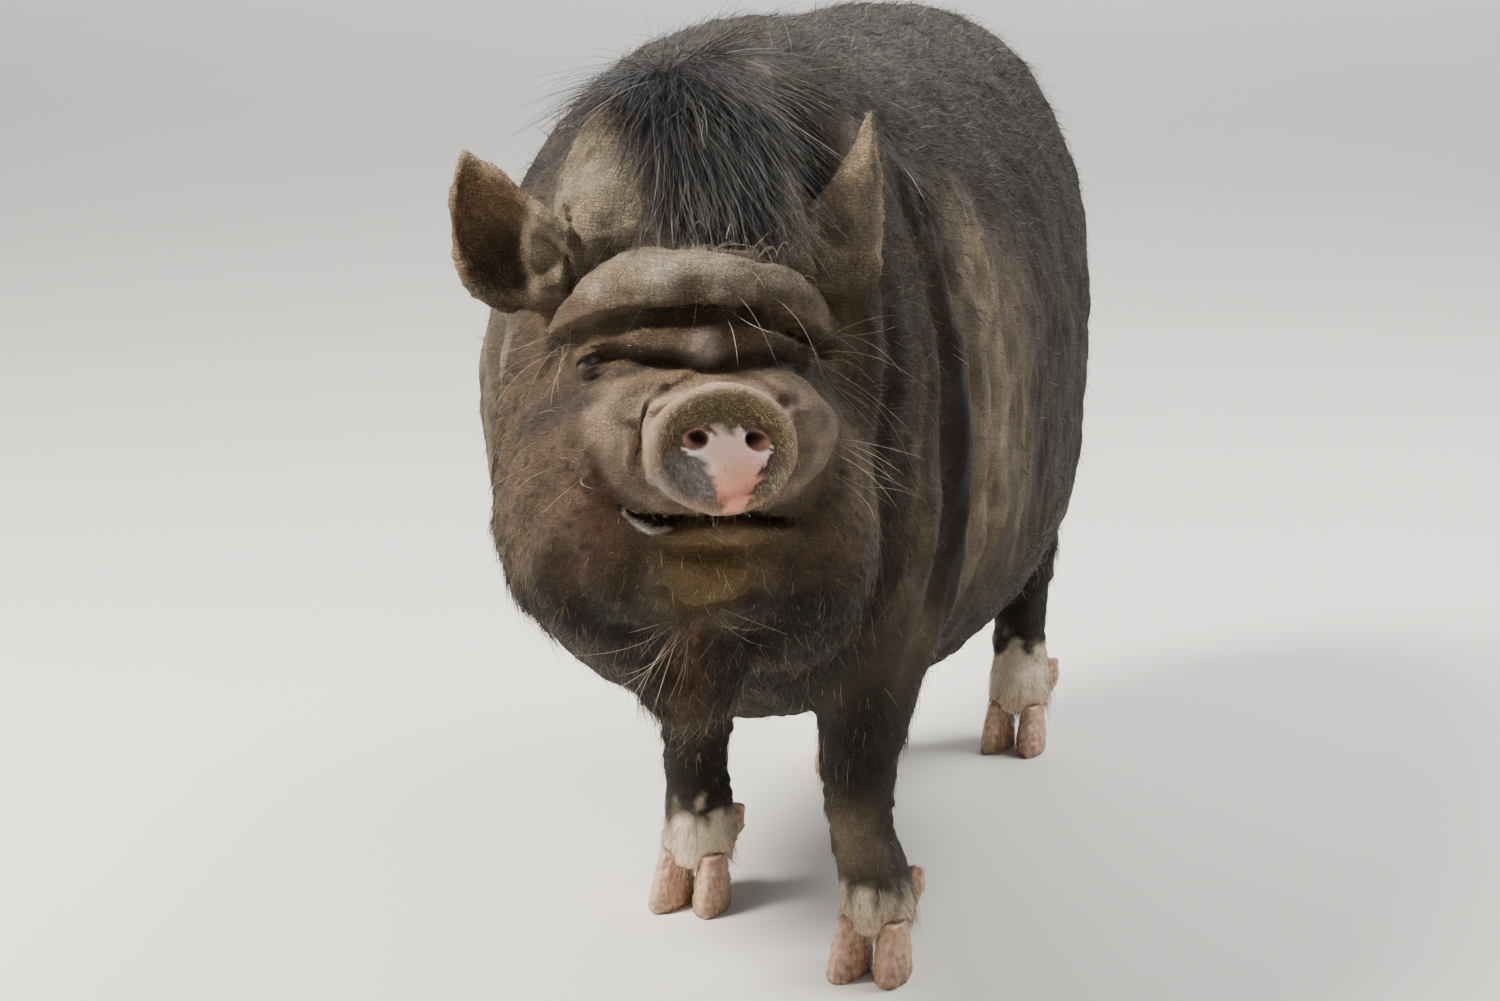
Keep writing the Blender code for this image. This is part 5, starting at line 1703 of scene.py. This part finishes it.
class PIG_OT_body_coat(bpy.types.Operator):
    """Grow the sparse bristles of the neck, flanks, rump, belly, legs and tail"""
    bl_idname = "pig.body_coat"
    bl_label = "Body coat"

    def execute(self, context):
        coat, colours = context.scene.pig_coat, context.scene.pig_colours
        material = coat_material("body_hair", 0.42)
        for name, count, seed, start, end, side in TRUNK_COATS:
            add_coat(name, lambda points, place=(start, end, side): trunk_roots(points, *place), count, seed,
                     material, "hide", length=coat.body, width=coat.width, lift=0.2, droop=0.08, spread=0.26,
                     rings=3, root=colours.hair_dark, tip=linear(52, 48, 47), vary=0.32,
                     pale=0.06, pale_tip=linear(150, 140, 128), skin_share=0.2,
                     size=lambda points: 0.5 + 0.5 * ramp(points[:, 2], 0.36, 0.54))
        add_coat("leg_hair", lambda points: leg_share(points) * ramp(points[:, 2], 0.03, 0.045), 9000, 125,
                 material, "foot_hide", length=0.0105, width=0.00034, lift=0.3, droop=0.05, spread=0.25,
                 rings=3, root=linear(26, 22, 18), tip=linear(88, 74, 58),
                 pale=0.06, pale_tip=colours.hair_pale, skin_share=0.5,
                 size=lambda points: 0.45 + 0.9 * ramp(points[:, 2], 0.05, 0.16))
        add_coat("sock_hair", lambda points: leg_share(points) * ramp(points[:, 2], 0.026, 0.032)
                 * fall(points[:, 2], 0.052, 0.066), 4200, 127, material, "foot_hide",
                 length=0.014, width=0.00036, lift=0.2, droop=0.06, spread=0.22, rings=3,
                 root=linear(150, 128, 104), tip=colours.cream,
                 pale=0.3, pale_tip=linear(236, 224, 204), skin_share=0.35)
        add_coat("tail_hair",
                 lambda points: tail_share(points) * (0.4 + 3.0 * fall(points[:, 2], 0.24, 0.32)),
                 1700, 126, material, "hide", length=0.03, width=0.00042, lift=0.25, droop=0.25, spread=0.3,
                 rings=4, root=colours.hair_dark, tip=linear(96, 84, 72), skin_share=0.1,
                 size=lambda points: 0.35 + 1.1 * fall(points[:, 2], 0.24, 0.34))
        return {"FINISHED"}


# Whiskers: centre on the head and reach in millimetres, count, length in millimetres, and heading.
WHISKERS = (
    ((-14, -58, -100), 6, 16, 62, (-0.6, -0.5, -0.35)),
    ((4, -60, -100), 6, 6, 45, (0.6, -0.6, -0.4)),
    ((78, -35, 46), 12, 14, 60, (0.8, -0.5, -0.3)),
    ((-74, -35, 62), 12, 10, 45, (-0.7, -0.6, -0.3)),
    ((78, -50, -10), 16, 14, 50, (0.85, -0.4, -0.25)),
    ((-72, -55, 0), 16, 8, 30, (-0.8, -0.5, -0.2)),
    ((20, -70, 116), 30, 26, 34, (0.15, -0.8, -0.3)),
    ((4, -98, -52), 28, 40, 10, (0.0, -0.8, -0.5)),
    ((4, -118, -34), 30, 60, 6, (0.0, -0.7, -0.7)),
)


class PIG_OT_whiskers(bpy.types.Operator):
    """Grow the long pale whiskers of the chin, cheeks and brow"""
    bl_idname = "pig.whiskers"
    bl_label = "Whiskers"

    def execute(self, context):
        colours = context.scene.pig_colours
        material = coat_material("whisker_hair", 0.35)
        for number, (centre, reach, count, long, heading) in enumerate(WHISKERS):
            def near(points, centre=centre, reach=reach):
                gap = np.linalg.norm(to_head(points) - metres(centre), axis=1)
                return bell(gap, reach / 1000) * (gap < 2.2 * reach / 1000) + 1e-12

            add_coat(f"whiskers_{number + 1}", near, count, 131 + number, material, "face_hide",
                     length=long / 1000, width=0.00042, lift=1.0, droop=0.2, spread=0.25, rings=8,
                     root=linear(96, 84, 70), tip=colours.hair_pale, vary=0.35, skin_share=0.1,
                     heading=heading)
        return {"FINISHED"}


# The camera, and how far it looks to its left and down.
CAMERA_PLACE = (0.8668, -2.7748, 0.914)
CAMERA_TURN = math.radians(18)
CAMERA_DROP = math.radians(13)
# Half the floor's width.
FLOOR_HALF = 9.0


def soft_light(name, place, aim, size, power, tone):
    """A round soft light at a place, aimed at a point."""
    light = bpy.data.lights.new(name, "AREA")
    light.shape = "DISK"
    light.size = size
    light.energy = power
    light.color = tone
    obj = new_object(name, light)
    obj.location = place
    obj.rotation_euler = (Vector(aim) - Vector(place)).to_track_quat("-Z", "Y").to_euler()
    return obj


class PIG_OT_stage(bpy.types.Operator):
    """Set the floor, lights, background and camera"""
    bl_idname = "pig.stage"
    bl_label = "Stage"

    def execute(self, context):
        stage = context.scene.pig_stage
        bm = bmesh.new()
        bmesh.ops.create_grid(bm, x_segments=8, y_segments=8, size=FLOOR_HALF)
        floor = new_object("floor", to_mesh(bm, "floor"))
        floor.data.materials.append(floor_material())
        world = bpy.data.worlds.new("studio")
        world.use_nodes = True
        sky = world.node_tree.nodes["Background"].inputs
        sky["Color"].default_value = (0.93, 0.95, 0.97, 1.0)
        sky["Strength"].default_value = 0.18
        context.scene.world = world
        head, behind = HEAD_CENTRE, Vector((-1.5, 6.5, 0.0))
        soft_light("key", head + Vector((-1.25, -0.35, 1.75)), head, 0.9, stage.key, (1.0, 0.94, 0.84))
        soft_light("rim", head + Vector((0.9, 1.6, 1.7)), head + Vector((0, 0.4, 0)), 1.2, stage.key * 0.45,
                   (1.0, 0.97, 0.92))
        soft_light("fill", head + Vector((0.9, -2.6, 0.9)), head, 1.6, stage.fill, (0.92, 0.96, 1.0))
        soft_light("backdrop", behind + Vector((0, 0, 4.5)), behind, 4.0, stage.key * 2.0, (1.0, 1.0, 1.0))
        up = Vector((0, 0, 1))
        across = Vector((math.cos(CAMERA_TURN), math.sin(CAMERA_TURN), 0.0))
        ahead = Vector((-math.sin(CAMERA_TURN), math.cos(CAMERA_TURN), 0.0))
        view = math.cos(CAMERA_DROP) * ahead - math.sin(CAMERA_DROP) * up
        rise = math.sin(CAMERA_DROP) * ahead + math.cos(CAMERA_DROP) * up
        camera = bpy.data.cameras.new("camera")
        camera.sensor_width = 36.0
        camera.lens = stage.lens
        camera.clip_start = 0.05
        camera.clip_end = 60.0
        obj = new_object("camera", camera)
        turned = Matrix((across, rise, -view)).transposed().to_4x4()
        obj.matrix_world = Matrix.Translation(CAMERA_PLACE) @ turned
        context.scene.camera = obj
        return {"FINISHED"}


OPERATORS = (PIG_OT_stage, PIG_OT_skin, PIG_OT_eyes, PIG_OT_hooves, PIG_OT_mane, PIG_OT_face_coat,
             PIG_OT_body_coat, PIG_OT_whiskers)


class PIG_PT_looks(bpy.types.Panel):
    """Lists the pig's pieces and their settings"""
    bl_label = "Pig looks"
    bl_idname = "PIG_PT_looks"
    bl_space_type = "VIEW_3D"
    bl_region_type = "UI"
    bl_category = "Pig"

    def draw(self, context):
        for operator in OPERATORS:
            self.layout.operator(operator.bl_idname)
        for group in GROUPS:
            box = self.layout.box()
            settings = getattr(context.scene, group)
            for name in settings.__annotations__:
                box.prop(settings, name)


GROUPS = {"pig_skin": PigSkinSettings, "pig_coat": PigCoatSettings, "pig_colours": PigColours,
          "pig_stage": PigStageSettings}


def register():
    for kind in (*GROUPS.values(), *OPERATORS, PIG_PT_looks):
        bpy.utils.register_class(kind)
    for name, kind in GROUPS.items():
        setattr(bpy.types.Scene, name, PointerProperty(type=kind))


def unregister():
    for name in GROUPS:
        delattr(bpy.types.Scene, name)
    for kind in reversed((*GROUPS.values(), *OPERATORS, PIG_PT_looks)):
        bpy.utils.unregister_class(kind)


def main():
    register()
    bpy.ops.pig.stage()
    bpy.ops.pig.skin()
    bpy.ops.pig.eyes()
    bpy.ops.pig.hooves()
    bpy.ops.pig.mane()
    bpy.ops.pig.face_coat()
    bpy.ops.pig.body_coat()
    bpy.ops.pig.whiskers()


if __name__ == "__main__":
    main()
